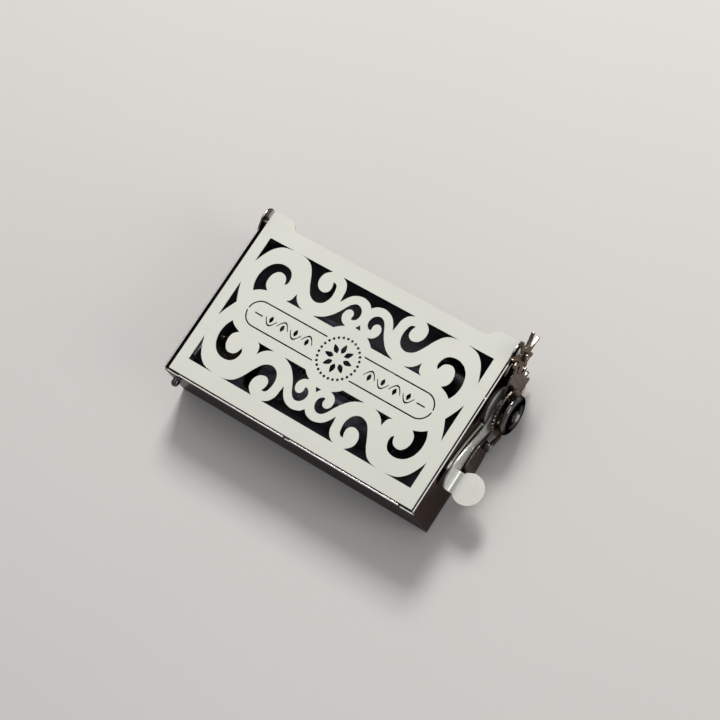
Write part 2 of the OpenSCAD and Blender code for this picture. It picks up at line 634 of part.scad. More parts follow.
lug_t = 0.8;
lug_inset = 0.4;
module lid_lug(x) difference() {
    along_x(x) linear_extrude(lug_t) hull() {
        translate([hinge_y, hinge_z]) circle(r = lug_r);
        translate([hinge_y - lug_r, lid_under - 0.1]) square([2 * lug_r, 0.1]);
    }
    rod_x(hinge_pin_r, x - 1, x + 2, hinge_y, hinge_z);
    slab(x - 1, x + 2, hinge_y - 5, hinge_y + 5, lid_under, lid_under + 3);
}
module lid_lug_left() color(steel) lid_lug(-lid_l / 2 + lug_inset);
module lid_lug_right() color(steel) lid_lug(lid_l / 2 - lug_inset - lug_t);
module hinge_pin_left() color(steel)
    rod_x(hinge_pin_r, x_left - wall_t - 0.5, -lid_l / 2 + lug_inset + lug_t, hinge_y, hinge_z);
module hinge_pin_right() color(steel)
    rod_x(hinge_pin_r, lid_l / 2 - lug_inset - lug_t, x_pinion + finger_t + nut_t, hinge_y, hinge_z);

// Finger pinion: short fingers work, the four that never meet the sector are long
short_r = lid_mod * (pinion_n / 2 + 0.9);
pinion_root_r = lid_mod * (pinion_n / 2 - 1.15);
function finger_long(k) = k >= 3 && k <= 6;
module finger(k) rotate(mesh_slope + 180 + k * 360 / pinion_n)
    if (finger_long(k))
        polygon([[pinion_root_r - 0.4, 1.1], [pinion_root_r - 0.4, -1.1], [short_r, -prong_w / 2],
            [finger_r - 0.4, -prong_w / 2 + 0.05], [finger_r, 0], [finger_r - 0.4, prong_w / 2 - 0.05],
            [short_r, prong_w / 2]]);
    else
        polygon(concat([[pinion_root_r - 0.4, -1.2]],
            tooth(lid_mod, pinion_n, 0, 0.15, 0.8, 1.1), [[pinion_root_r - 0.4, 1.2]]));
module finger_pinion() color(steel) difference() {
    union() {
        along_x(x_pinion, hinge_y, hinge_z) linear_extrude(finger_t) union() {
            circle(r = pinion_root_r, $fn = 48);
            for (k = [0:pinion_n - 1]) finger(k);
        }
        rod_x(hub_r, x_out + 0.2, x_pinion, hinge_y, hinge_z);
    }
    rod_x(hinge_pin_r, x_out - 1, x_pinion + 3, hinge_y, hinge_z);
}
module pinion_nut() color(steel) difference() {
    rod_x(1.7, x_pinion + finger_t, x_pinion + finger_t + nut_t, hinge_y, hinge_z);
    rod_x(hinge_pin_r, x_pinion, x_pinion + finger_t + nut_t + 1, hinge_y, hinge_z);
}

// ---- Thumb lever ----
tab_y = pivot_y - tab_reach;
bend_x = x_lever + lever_t + bend_r;      // centre of the neck's bend
bend_z = tab_z + bend_r;
module lever_outline() polygon(concat(
    [[tab_y - neck_w / 2, bend_z], [tab_y + neck_w / 2, bend_z],
        [tab_y + neck_w / 2 + 0.3, bend_z - 0.4], [tab_y + neck_w / 2 + 0.3, tab_z - lever_t]],
    smooth([[pivot_y - 20, pivot_z + 1.2], [pivot_y - 12, pivot_z - 0.6],
        [pivot_y - 6, pivot_z - 3.6], [pivot_y, pivot_z - 5.2], [pivot_y + 4.2, pivot_z - 3],
        [pivot_y + 5.2, pivot_z], [pivot_y + 4, pivot_z + 3.4], [pivot_y, pivot_z + 4.4]]),
    smooth([[pivot_y - 4.6, pivot_z + 3.2], [pivot_y - 10, pivot_z + 3.6],
        [pivot_y - 16, pivot_z + 6.1], [pivot_y - 22, pivot_z + 8.3], [pivot_y - 26, pivot_z + 9],
        [tab_y - 1.4, pivot_z + 8.3], [tab_y - neck_w / 2 + 0.8, bend_z + 1.6],
        [tab_y - neck_w / 2, bend_z]])));
module lever_bend() intersection() {
    translate([bend_x, tab_y + neck_w / 2, bend_z]) rotate([90, 0, 0]) linear_extrude(neck_w) difference() {
        circle(r = bend_r + lever_t);
        circle(r = bend_r);
    }
    slab(x_lever, bend_x, tab_y - neck_w, tab_y + neck_w, tab_z - lever_t, bend_z);
}
module thumb_lever() color(pale) difference() {
    union() {
        along_x(x_lever) linear_extrude(lever_t) lever_outline();
        lever_bend();
        // neck and round thumb tab
        slab(bend_x, x_lever + tab_out, tab_y - neck_w / 2, tab_y + neck_w / 2, tab_z - lever_t, tab_z);
        difference() {
            translate([x_lever + tab_out, tab_y, tab_z - lever_t]) cylinder(r = tab_r, h = lever_t, $fn = 72);
            slab(x_lever - 3, bend_x, tab_y - tab_r, tab_y + tab_r, 0, tab_z + 1);
        }
        // ear bent inwards, resting on the leaf
        slab(leaf_x0 + 0.3, x_lever, ear_y, ear_y + ear_w, ear_z, ear_z + 0.6);
    }
    rod_x(bush_r + run, x_lever - 1, x_lever + 2, pivot_y, pivot_z);
    for (p = rivet_places) rod_x(rivet_r, x_lever - 1, x_lever + 2, p[0], p[1]);
}
ear_w = 2.5;
ear_y = tab_y + 1.7;
ear_z = pivot_z + 4.2 + 5.1 * cos(90 * (ear_y - leaf_y0) / (leaf_y1 - leaf_y0)) + leaf_t + 0.12;
rivet_r = 0.6;
rivet_places = [[pivot_y + 3.9, pivot_z], [pivot_y - 1.5, pivot_z + 3.6], [pivot_y - 1.5, pivot_z - 3.8]];

// Sector that lifts the lid: teeth from low at the back up past the line to the hinge
sector_first = -4;
sector_count = 5;
function sector_phase() = mesh_slope + 180 / sector_n;
sector_root_r = sector_r - 1.1 * lid_mod;
sector_low = sector_phase() + (sector_first - 0.5) * 360 / sector_n;
sector_high = sector_phase() + (sector_first + sector_count - 0.5) * 360 / sector_n;
module sector_plate() color(steel) difference() {
    along_x(x_sector, pivot_y, pivot_z) linear_extrude(lever_t) union() {
        circle(r = bush_r + 3.2, $fn = 48);
        polygon(concat([polar(4, sector_low - 60), polar(bush_r + 3, sector_low - 30)],
            [polar(sector_root_r, sector_low)],
            tooth_points(lid_mod, sector_n, sector_first, sector_count, sector_phase(), 0.15, 0.8, 1.1),
            [polar(sector_root_r, sector_high)],
            [polar(bush_r + 3, sector_high + 30), polar(4, sector_high + 60)]));
    }
    rod_x(bush_r + run, x_sector - 1, x_sector + 2, pivot_y, pivot_z);
    for (p = rivet_places) rod_x(rivet_r, x_sector - 1, x_sector + 2, p[0], p[1]);
}
stud_back = 17;                           // the lever's stud, in front of its pivot
stud_up = 2.3;                            // and above it
stud_place = [pivot_y - stud_back, pivot_z + stud_up];
module lever_rivets() color(pale) {
    for (p = rivet_places) rod_x(rivet_r, x_lever, x_sector + lever_t, p[0], p[1]);
    rod_x(1.6, x_sector, x_sector + 0.4, stud_place[0], stud_place[1]);
}

// ---- Winding ----
module winding_arbor() color(steel)
    rod_x(arbor_r, x_barrel_bear - 0.5, x_knob + knob_t + nut_t, pivot_y, pivot_z);
ratchet_depth = 0.8;
ratchet_step = 360 / ratchet_n;
face_lean = 0.15;                         // lean of a tooth's steep face, as a share of the step
module ratchet_wheel() color(steel) difference() {
    along_x(x_ratchet, pivot_y, pivot_z) linear_extrude(ratchet_t) difference() {
        polygon([for (i = [0:ratchet_n - 1]) each [polar(ratchet_r - ratchet_depth, i * ratchet_step),
            polar(ratchet_r, (i + face_lean) * ratchet_step)]]);
        for (k = [0:3]) rotate(45 + 90 * k) polygon([for (j = [0:24]) let (a = j * 15)
            [5.3 + 1.7 * cos(a), 2.4 * sin(a)]]);
    }
    rod_x(arbor_r, x_ratchet - 1, x_ratchet + 2, pivot_y, pivot_z);
}
module winding_knob() color(dark) difference() {
    along_x(x_knob, pivot_y, pivot_z) rotate_extrude($fn = 96) polygon([[0, 0], [knob_r - 0.9, 0],
        [knob_r, 0.7], [knob_r, knob_t - 1.1], [knob_r - 0.35, knob_t - 0.4], [knob_r - 1.1, knob_t],
        [3.4, knob_t], [3.0, knob_t - 0.4], [0, knob_t - 0.4]]);
    rod_x(arbor_r, x_knob - 1, x_knob + knob_t + 1, pivot_y, pivot_z);
}
module knob_nut() color(steel) difference() {
    rod_x(2.3, x_knob + knob_t - 0.4, x_knob + knob_t + nut_t - 0.4, pivot_y, pivot_z);
    rod_x(arbor_r, x_knob, x_knob + knob_t + 3, pivot_y, pivot_z);
}

// Click: its beak lies just under a steep face, so that it lifts out along the face
click_gap = 0.2;
beak_a = (floor(232 / ratchet_step) + face_lean / 2) * ratchet_step - click_gap / ratchet_r * 180 / PI;
beak_rise = 0.6 + ratchet_depth / 2;
function at_wheel(r, a) = [pivot_y, pivot_z] + polar(ratchet_r + r, beak_a + a);
click_outline = [[click_y, click_z + 1.6], at_wheel(0.4, -0.6 * ratchet_step),
    at_wheel(-ratchet_depth / 2, 0), at_wheel(0.6, face_lean * ratchet_step * beak_rise / ratchet_depth),
    at_wheel(1.9, 0), [click_y, click_z - 1.6]];
module click_pawl() color(steel) difference() {
    along_x(x_ratchet) linear_extrude(ratchet_t) union() {
        translate([click_y, click_z]) circle(r = 1.7, $fn = 32);
        polygon(click_outline);
    }
    rod_x(screw_r + run, x_ratchet - 1, x_ratchet + 2, click_y, click_z);
}

// ---- Spring barrel ----
module train_wheel(n, phase, x, y, bore) difference() {
    along_x(x, y, train_z) linear_extrude(wheel_t) wheel_2d(n, phase);
    rod_x(bore, x - 1, x + wheel_t + 1, y, train_z);
}
module great_wheel() color(brass)
    train_wheel(great_n, great_phase, x_wheels, pivot_y, arbor_r + run);
module spring_barrel() color(brass) difference() {
    rod_x(barrel_r, x_wheels + wheel_t, x_wheels + wheel_t + barrel_l, pivot_y, pivot_z);
    rod_x(barrel_r - barrel_wall, x_wheels, x_wheels + wheel_t + barrel_l + 1, pivot_y, pivot_z);
}
module barrel_cover() color(brass) difference() {
    rod_x(barrel_r, x_wheels + wheel_t + barrel_l, x_wheels + wheel_t + barrel_l + 0.8, pivot_y, pivot_z);
    rod_x(arbor_r + run, x_wheels + wheel_t, x_wheels + wheel_t + barrel_l + 2, pivot_y, pivot_z);
}
coil_n = 5;
coil_t = 0.3;
coil_in = arbor_r + 0.35;
coil_out = barrel_r - barrel_wall - 0.4;
function coil(up) = [for (a = [0:15:coil_n * 360])
    polar(coil_in + (coil_out - coil_in) * a / (coil_n * 360) + up, -a)];
module mainspring() color(steel)
    along_x(x_wheels + wheel_t + 1, pivot_y, pivot_z) linear_extrude(barrel_l - 2)
        polygon(concat(coil(coil_t), flip(coil(0))));

module idler_wheel() color(brass)
    train_wheel(idler_n, idler_phase, x_wheels, idler_y, thin_r + run);

// ---- Cylinder ----
module music_cylinder() color(dark) difference() {
    rod_x(cyl_r, -cyl_l / 2, cyl_l / 2, cyl_y, train_z);
    rod_x(cyl_r - cyl_wall, -cyl_l / 2 - 1, cyl_l / 2 + 1, cyl_y, train_z);
}
pins_per_track = 3;
function pin_angle(k, j) = 24 * ((k * 7 + j * 5 + (k * j) % 4) % 15) + 12;
module cylinder_pins() color(steel)
    for (k = [0:comb_n - 1], j = [0:pins_per_track - 1])
        translate([in_mid(k, comb_n) * comb_pitch, cyl_y, train_z]) rotate([pin_angle(k, j) + 6 * j, 0, 0])
            translate([0, 0, cyl_r - cyl_wall]) cylinder(r = pin_r, h = cyl_wall + pin_out, $fn = 16);
cyl_arbor_r = thin_r + 0.2;
module cylinder_arbor() color(steel)
    rod_x(cyl_arbor_r, x_bear_l - 0.5, x_bear_r + plate_t + 0.5, cyl_y, train_z);
module cylinder_caps() color(brass) difference() {
    for (x = [-cyl_l / 2 - cap_t, cyl_l / 2]) rod_x(cyl_r, x, x + cap_t, cyl_y, train_z);
    rod_x(cyl_arbor_r, -cyl_l, cyl_l, cyl_y, train_z);
}
module cylinder_wheel() color(brass)
    train_wheel(cyl_n, cyl_phase, x_wheels, cyl_y, cyl_arbor_r);
module governor_drive_wheel() color(brass)
    train_wheel(cyl_n, 0, x_drive, cyl_y, cyl_arbor_r);

// ---- Governor ----
module pinion_x(n, phase, x, y, z) along_x(x, y, z) linear_extrude(wheel_t + 0.4) wheel_2d(n, phase);
module governor_arbor() color(steel) {
    rod_x(thin_r, x_gov_plate - 0.4, x_drive + wheel_t + 0.6, gov_y, train_z);
    pinion_x(gov_pin_n, gov_pin_phase, x_drive - 0.2, gov_y, train_z);
}
module governor_wheel() color(brass) train_wheel(gov_n, 0, x_gov, gov_y, thin_r);
module fly_arbor() color(steel) {
    rod_x(thin_r, x_gov_plate - 0.4, x_bear_l + plate_t + 0.2, fly_y, fly_z);
    pinion_x(fly_pin_n, fly_phase, x_gov - 0.2, fly_y, fly_z);
}
vane_t = 0.4;
vane_l = 8;
module fly_vanes() color(pale) difference() {
    union() {
        rod_x(thin_r + 0.6, x_gov - 1.6 - vane_l, x_gov - 1.6, fly_y, fly_z);
        translate([x_gov - 1.6 - vane_l, fly_y, fly_z]) rotate([30, 0, 0])
            translate([0, -fly_r, -vane_t / 2]) cube([vane_l, 2 * fly_r, vane_t]);
    }
    rod_x(thin_r, x_gov - 2.6 - vane_l, x_gov, fly_y, fly_z);
}

floor_plate();
front_plate();
back_plate();
left_plate();
right_plate();
corner_posts();
case_screws();
lid_rest();
pivot_boss();
hinge_bracket();
lever_bush();
bush_clip();
guide_plate();
guide_posts();
click_stud();
leaf_spring();
leaf_rivets();
right_bearing();
left_bearing();
barrel_bearing();
governor_bearing();
bearing_screws();
idler_stud();
comb_base();
comb();
comb_screws();
stop_guide();
lid_panel();
lid_lug_left();
lid_lug_right();
hinge_pin_left();
hinge_pin_right();
finger_pinion();
pinion_nut();
thumb_lever();
sector_plate();
lever_rivets();
winding_arbor();
ratchet_wheel();
winding_knob();
knob_nut();
click_pawl();
great_wheel();
spring_barrel();
barrel_cover();
mainspring();
idler_wheel();
music_cylinder();
cylinder_pins();
cylinder_arbor();
cylinder_caps();
cylinder_wheel();
governor_drive_wheel();
governor_arbor();
governor_wheel();
fly_arbor();
fly_vanes();
stop_rod();
stop_button();
stop_finger();
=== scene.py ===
"""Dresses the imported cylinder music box: finishes, rounded edges, turned fittings, light and camera."""

import json
import logging
import math
from dataclasses import dataclass, field
from enum import Enum
from typing import Callable, Iterable, Sequence

import bmesh
import bpy
from mathutils import Matrix, Vector

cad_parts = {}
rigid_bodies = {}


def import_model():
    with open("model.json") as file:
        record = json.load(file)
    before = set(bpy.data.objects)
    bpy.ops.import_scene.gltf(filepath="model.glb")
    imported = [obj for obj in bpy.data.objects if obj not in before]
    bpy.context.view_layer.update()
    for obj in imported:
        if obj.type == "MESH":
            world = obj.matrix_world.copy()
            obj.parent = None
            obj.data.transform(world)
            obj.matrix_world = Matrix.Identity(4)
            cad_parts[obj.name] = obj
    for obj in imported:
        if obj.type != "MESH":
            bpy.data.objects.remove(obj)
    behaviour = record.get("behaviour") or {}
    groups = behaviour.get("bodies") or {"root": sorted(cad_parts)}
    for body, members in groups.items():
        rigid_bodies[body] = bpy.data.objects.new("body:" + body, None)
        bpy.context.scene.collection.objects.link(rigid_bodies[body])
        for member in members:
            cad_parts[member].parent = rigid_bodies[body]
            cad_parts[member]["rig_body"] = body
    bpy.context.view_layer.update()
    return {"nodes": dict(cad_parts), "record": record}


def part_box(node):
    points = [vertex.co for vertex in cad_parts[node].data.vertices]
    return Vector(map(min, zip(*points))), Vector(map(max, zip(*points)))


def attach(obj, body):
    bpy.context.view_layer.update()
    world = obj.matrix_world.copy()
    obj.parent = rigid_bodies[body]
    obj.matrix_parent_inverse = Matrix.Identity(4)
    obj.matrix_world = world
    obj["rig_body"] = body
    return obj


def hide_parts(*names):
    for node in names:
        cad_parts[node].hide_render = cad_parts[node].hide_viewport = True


log = logging.getLogger("music_box")
MM = 0.001
Point = tuple[float, float, float]
FaceTest = Callable[[Vector, Vector], bool]


class Body(Enum):
    """The moving groups of the box that a piece can ride on."""

    CASE = "case"
    LID = "lid"
    LEVER = "lever"
    WINDING = "winding"
    CLICK = "click"
    BARREL = "barrel"
    IDLER = "idler"
    CYLINDER = "cylinder"
    GOVERNOR = "governor"
    FLY = "fly"
    STOP = "stop"


class Axis(Enum):
    """The line that a turned piece was turned about, as a unit step and the turn of a new cylinder."""

    X = ((1.0, 0.0, 0.0), (0.0, math.pi / 2, 0.0))
    Y = ((0.0, 1.0, 0.0), (-math.pi / 2, 0.0, 0.0))
    Z = ((0.0, 0.0, 1.0), (0.0, 0.0, 0.0))

    @property
    def step(self) -> Vector:
        """Gives the unit step along the line."""
        return Vector(self.value[0])

    @property
    def turn(self) -> Point:
        """Gives the turn that lays a new cylinder along the line."""
        return self.value[1]


class Grain(Enum):
    """Direction in which a surface was brushed, as the scale of its streaks along X, Y and Z."""

    ALONG_X = (40.0, 2600.0, 2600.0)
    ALONG_Y = (2600.0, 40.0, 2600.0)
    ALONG_Z = (2600.0, 2600.0, 60.0)
    UPRIGHT = (760.0, 760.0, 26.0)
    NONE = (900.0, 900.0, 900.0)


# ---------------------------------------------------------------- finishes


class Nodes:
    """A short way to add and join shader nodes in one material."""

    def __init__(self, name: str) -> None:
        """Starts a material with an empty tree and an output.

        Args:
            name: The material's name.
        """
        self.material = bpy.data.materials.new(name)
        self.material.use_nodes = True
        self.tree = self.material.node_tree
        self.tree.nodes.clear()
        self.output = self.add("ShaderNodeOutputMaterial")
        self.coords = self.add("ShaderNodeTexCoord").outputs["Object"]

    def add(self, kind: str, **sockets: object) -> bpy.types.Node:
        """Adds a node and sets or links its inputs.

        Args:
            kind: The node's type name.
            sockets: Input names, with underscores for spaces, and a value or an output to link.

        Returns:
            The new node.
        """
        node = self.tree.nodes.new(kind)
        for name, value in sockets.items():
            self.plug(node, name.replace("_", " "), value)
        return node

    def plug(self, node: bpy.types.Node, name: str | int, value: object) -> None:
        """Sets one input of a node, or links an output to it.

        Args:
            node: The node.
            name: The input's name or number.
            value: A value to set or an output to link.
        """
        if isinstance(value, bpy.types.NodeSocket):
            self.tree.links.new(value, node.inputs[name])
        else:
            node.inputs[name].default_value = value

    def noise(self, scale: Sequence[float], detail: float = 3.0, rough: float = 0.5,
              warp: float = 0.0) -> bpy.types.NodeSocket:
        """Adds noise stretched by a scale for each axis.

        Args:
            scale: Cells per metre along X, Y and Z.
            detail: Number of finer layers.
            rough: Strength of the finer layers.
            warp: How far the pattern is bent by itself.

        Returns:
            The noise value's output.
        """
        place = self.add("ShaderNodeMapping", Vector=self.coords)
        place.inputs["Scale"].default_value = tuple(scale)
        return self.add("ShaderNodeTexNoise", Vector=place.outputs[0], Scale=1.0, Detail=detail,
                        Roughness=rough, Distortion=warp).outputs["Fac"]

    def ramp(self, value: bpy.types.NodeSocket, low: float, high: float, out_low: float,
             out_high: float) -> bpy.types.NodeSocket:
        """Maps a value from one range to another, clamped.

        Args:
            value: The value's output.
            low: Start of its range.
            high: End of its range.
            out_low: What the start becomes.
            out_high: What the end becomes.

        Returns:
            The mapped value's output.
        """
        node = self.add("ShaderNodeMapRange", Value=value)
        names = ("From Min", "From Max", "To Min", "To Max")
        for name, number in zip(names, (low, high, out_low, out_high)):
            node.inputs[name].default_value = number
        return node.outputs[0]

    def mix(self, amount: bpy.types.NodeSocket | float, one: object, two: object) -> bpy.types.NodeSocket:
        """Mixes two colours.

        Args:
            amount: 0 gives the first colour and 1 the second.
            one: The first colour, or an output.
            two: The second colour, or an output.

        Returns:
            The mixed colour's output.
        """
        node = self.tree.nodes.new("ShaderNodeMix")
        node.data_type = "RGBA"
        for index, value in ((0, amount), (6, one), (7, two)):
            self.plug(node, index, value)
        return node.outputs[2]

    def maths(self, operation: str, one: object, two: object = 0.0) -> bpy.types.NodeSocket:
        """Adds one arithmetic step.

        Args:
            operation: The step's name, such as ADD.
            one: The first number, or an output.
            two: The second number, or an output.

        Returns:
            The result's output.
        """
        node = self.tree.nodes.new("ShaderNodeMath")
        node.operation = operation
        self.plug(node, 0, one)
        self.plug(node, 1, two)
        return node.outputs[0]

    def bump(self, height: bpy.types.NodeSocket, depth: float, strength: float = 0.5) -> bpy.types.NodeSocket:
        """Turns a height into a surface normal.

        Args:
            height: The height's output, from 0 to 1.
            depth: The height's size in metres.
            strength: How much of it shows.

        Returns:
            The normal's output.
        """
        return self.add("ShaderNodeBump", Height=height, Distance=depth, Strength=strength).outputs[0]

    def radius_from(self, centre: Point) -> bpy.types.NodeSocket:
        """Gives the distance from a line along X.

        Args:
            centre: A point on the line.

        Returns:
            The distance's output, in metres.
        """
        place = self.add("ShaderNodeMapping", Vector=self.coords)
        place.inputs["Location"].default_value = tuple(-c for c in centre)
        split = self.add("ShaderNodeSeparateXYZ", Vector=place.outputs[0])
        squares = [self.maths("POWER", split.outputs[k], 2.0) for k in (1, 2)]
        return self.maths("SQRT", self.maths("ADD", *squares))

    def finish(self, **sockets: object) -> bpy.types.Material:
        """Adds the surface shader and joins it to the output.

        Args:
            sockets: The shader's inputs.

        Returns:
            The finished material.
        """
        shader = self.add("ShaderNodeBsdfPrincipled", **sockets)
        self.tree.links.new(shader.outputs[0], self.output.inputs[0])
        return self.material


@dataclass(frozen=True)
class Finish:
    """A surface finish.

    Attributes:
        name: The material's name.
        colour: Linear base colour.
        rough: Middle roughness.
    """

    name: str
    colour: Point
    rough: float = 0.3

    def rgba(self, gain: float = 1.0) -> tuple[float, float, float, float]:
        """Gives the colour with an alpha.

        Args:
            gain: Makes it lighter or darker.

        Returns:
            Red, green, blue and alpha.
        """
        return (*(min(1.0, c * gain) for c in self.colour), 1.0)

    def build(self) -> bpy.types.Material:
        """Makes the material.

        Returns:
            The material.
        """
        raise NotImplementedError


@dataclass(frozen=True)
class PolishedSheet(Finish):
    """Polished or brushed sheet metal with fine streaks, soft smears and a few hairline scratches.

    Attributes:
        grain: Direction of the brushing.
        rim: Tint of its reflection at a glancing angle.
        streaks: How far the brushing lightens the colour.
        bare: 1 for a mirror, less where fine blasting scatters the light.
        light: How much lighter than the colour the lightest streak is.
    """

    grain: Grain = Grain.ALONG_Y
    rim: Point = (1.0, 1.0, 1.0)
    streaks: float = 0.3
    bare: float = 1.0
    light: float = 1.5

    def build(self) -> bpy.types.Material:
        """Makes the material.

        Returns:
            The material.
        """
        n = Nodes(self.name)
        streak = n.noise(self.grain.value, 4.0, 0.6)
        smear = n.noise((60.0, 75.0, 60.0), 3.0, 0.55, 0.6)
        scratch = n.noise(tuple(3.1 * s for s in self.grain.value), 1.0, 0.4)
        tone = n.mix(n.ramp(streak, 0.32, 0.68, 0.0, self.streaks), self.rgba(0.92), self.rgba(self.light))
        tone = n.mix(n.ramp(smear, 0.45, 0.72, 0.0, 0.28), tone, self.rgba(0.66))
        tone = n.mix(n.ramp(scratch, 0.74, 0.8, 0.0, 0.35), tone, self.rgba(2.0))
        rough = n.maths("ADD", n.ramp(streak, 0.3, 0.7, self.rough * 0.85, self.rough * 1.2),
                        n.ramp(smear, 0.42, 0.75, 0.0, 0.08))
        return n.finish(Base_Color=tone, Metallic=self.bare, Roughness=rough, Specular_Tint=(*self.rim, 1.0),
                        Normal=n.bump(streak, 0.0000015, 0.35))


@dataclass(frozen=True)
class SatinCoat(Finish):
    """Thin satin coat on sheet metal, with fine orange peel, slow drift of tone and specks of grime."""

    def build(self) -> bpy.types.Material:
        """Makes the material.

        Returns:
            The material.
        """
        n = Nodes(self.name)
        peel = n.noise((2300.0, 2300.0, 2300.0), 2.0, 0.5)
        drift = n.noise((24.0, 24.0, 24.0), 3.0, 0.5, 0.4)
        grime = n.noise((420.0, 420.0, 420.0), 5.0, 0.65)
        handled = n.noise((70.0, 240.0, 70.0), 3.0, 0.6)
        tone = n.mix(n.ramp(drift, 0.35, 0.7, 0.0, 1.0), self.rgba(1.015), self.rgba(0.95))
        tone = n.mix(n.ramp(handled, 0.58, 0.78, 0.0, 0.4), tone, self.rgba(0.9))
        tone = n.mix(n.ramp(grime, 0.64, 0.82, 0.0, 0.4), tone,
                     (self.colour[0] * 0.84, self.colour[1] * 0.82, self.colour[2] * 0.76, 1.0))
        rough = n.maths("ADD", n.ramp(grime, 0.3, 0.7, self.rough * 0.88, self.rough * 1.1),
                        n.ramp(handled, 0.5, 0.8, 0.0, -0.09))
        return n.finish(Base_Color=tone, Metallic=0.0, Roughness=rough, Coat_Weight=0.12, Coat_Roughness=0.22,
                        Specular_IOR_Level=0.5, Normal=n.bump(peel, 0.000005, 0.3))


@dataclass(frozen=True)
class TurnedMetal(Finish):
    """Metal turned on a lathe about a line along X: fine rings on its faces, darker and duller in random
    clouds.

    Attributes:
        centre: A point on the line that it was turned about.
        rings: Fineness of the rings, in cells per metre.
    """

    centre: Point = (0.0, 0.0, 0.0)
    rings: float = 5200.0

    def build(self) -> bpy.types.Material:
        """Makes the material.

        Returns:
            The material.
        """
        n = Nodes(self.name)
        split = n.add("ShaderNodeSeparateXYZ", Vector=n.coords)
        lines = n.add("ShaderNodeCombineXYZ", X=n.radius_from(self.centre), Y=split.outputs[0]).outputs[0]
        ring = n.add("ShaderNodeTexNoise", Vector=lines, Scale=self.rings, Detail=2.0).outputs["Fac"]
        cloud = n.noise((170.0, 170.0, 170.0), 4.0, 0.6)
        tone = n.mix(n.ramp(ring, 0.35, 0.65, 0.0, 0.6), self.rgba(0.84), self.rgba(1.2))
        tone = n.mix(n.ramp(cloud, 0.5, 0.72, 0.0, 0.5), tone, self.rgba(0.58))
        rough = n.ramp(cloud, 0.3, 0.75, self.rough * 0.85, self.rough * 1.4)
        return n.finish(Base_Color=tone, Metallic=1.0, Roughness=rough, Normal=n.bump(ring, 0.000002, 0.3))


@dataclass(frozen=True)
class BlackGloss(Finish):
    """Hard glossy black with a faint haze of handling and hairline scratches round its rim."""

    def build(self) -> bpy.types.Material:
        """Makes the material.

        Returns:
            The material.
        """
        n = Nodes(self.name)
        smear = n.noise((130.0, 130.0, 130.0), 4.0, 0.6, 0.5)
        scratch = n.noise((5200.0, 300.0, 300.0), 2.0, 0.5)
        tone = n.mix(n.ramp(smear, 0.5, 0.75, 0.0, 0.6), self.rgba(), self.rgba(0.7))
        tone = n.mix(n.ramp(scratch, 0.68, 0.8, 0.0, 0.3), tone, self.rgba(2.0))
        rough = n.maths("ADD", n.ramp(smear, 0.35, 0.75, self.rough * 0.6, self.rough * 1.9),
                        n.ramp(scratch, 0.6, 0.8, 0.0, 0.07))
        return n.finish(Base_Color=tone, Metallic=1.0, Roughness=rough, Specular_Tint=(0.12, 0.12, 0.12, 1.0),
                        Normal=n.bump(scratch, 0.000001, 0.2))


@dataclass(frozen=True)
class DarkGrit(Finish):
    """Dark metal: uneven, with fine grit and lighter rubbed patches; on the inner parts its dark navy colour
    is painted shade of the closed box.

    Attributes:
        metallic: How far it still looks like bare metal.
    """

    metallic: float = 0.55

    def build(self) -> bpy.types.Material:
        """Makes the material.

        Returns:
            The material.
        """
        n = Nodes(self.name)
        blotch = n.noise((240.0, 240.0, 240.0), 5.0, 0.6)
        fine = n.noise((3000.0, 3000.0, 3000.0), 2.0, 0.5)
        rubbed = n.noise((95.0, 420.0, 160.0), 4.0, 0.6, 0.7)
        tone = n.mix(n.ramp(blotch, 0.35, 0.7, 0.0, 1.0), self.rgba(0.72),
                     (self.colour[0] * 1.35, self.colour[1] * 1.2, self.colour[2] * 1.05, 1.0))
        tone = n.mix(n.ramp(rubbed, 0.62, 0.8, 0.0, 0.35), tone, self.rgba(3.0))
        rough = n.maths("ADD", n.ramp(blotch, 0.3, 0.7, self.rough * 0.85, self.rough * 1.2),
                        n.ramp(rubbed, 0.6, 0.8, 0.0, -0.12))
        return n.finish(Base_Color=tone, Metallic=self.metallic, Roughness=rough,
                        Normal=n.bump(fine, 0.000006, 0.3))


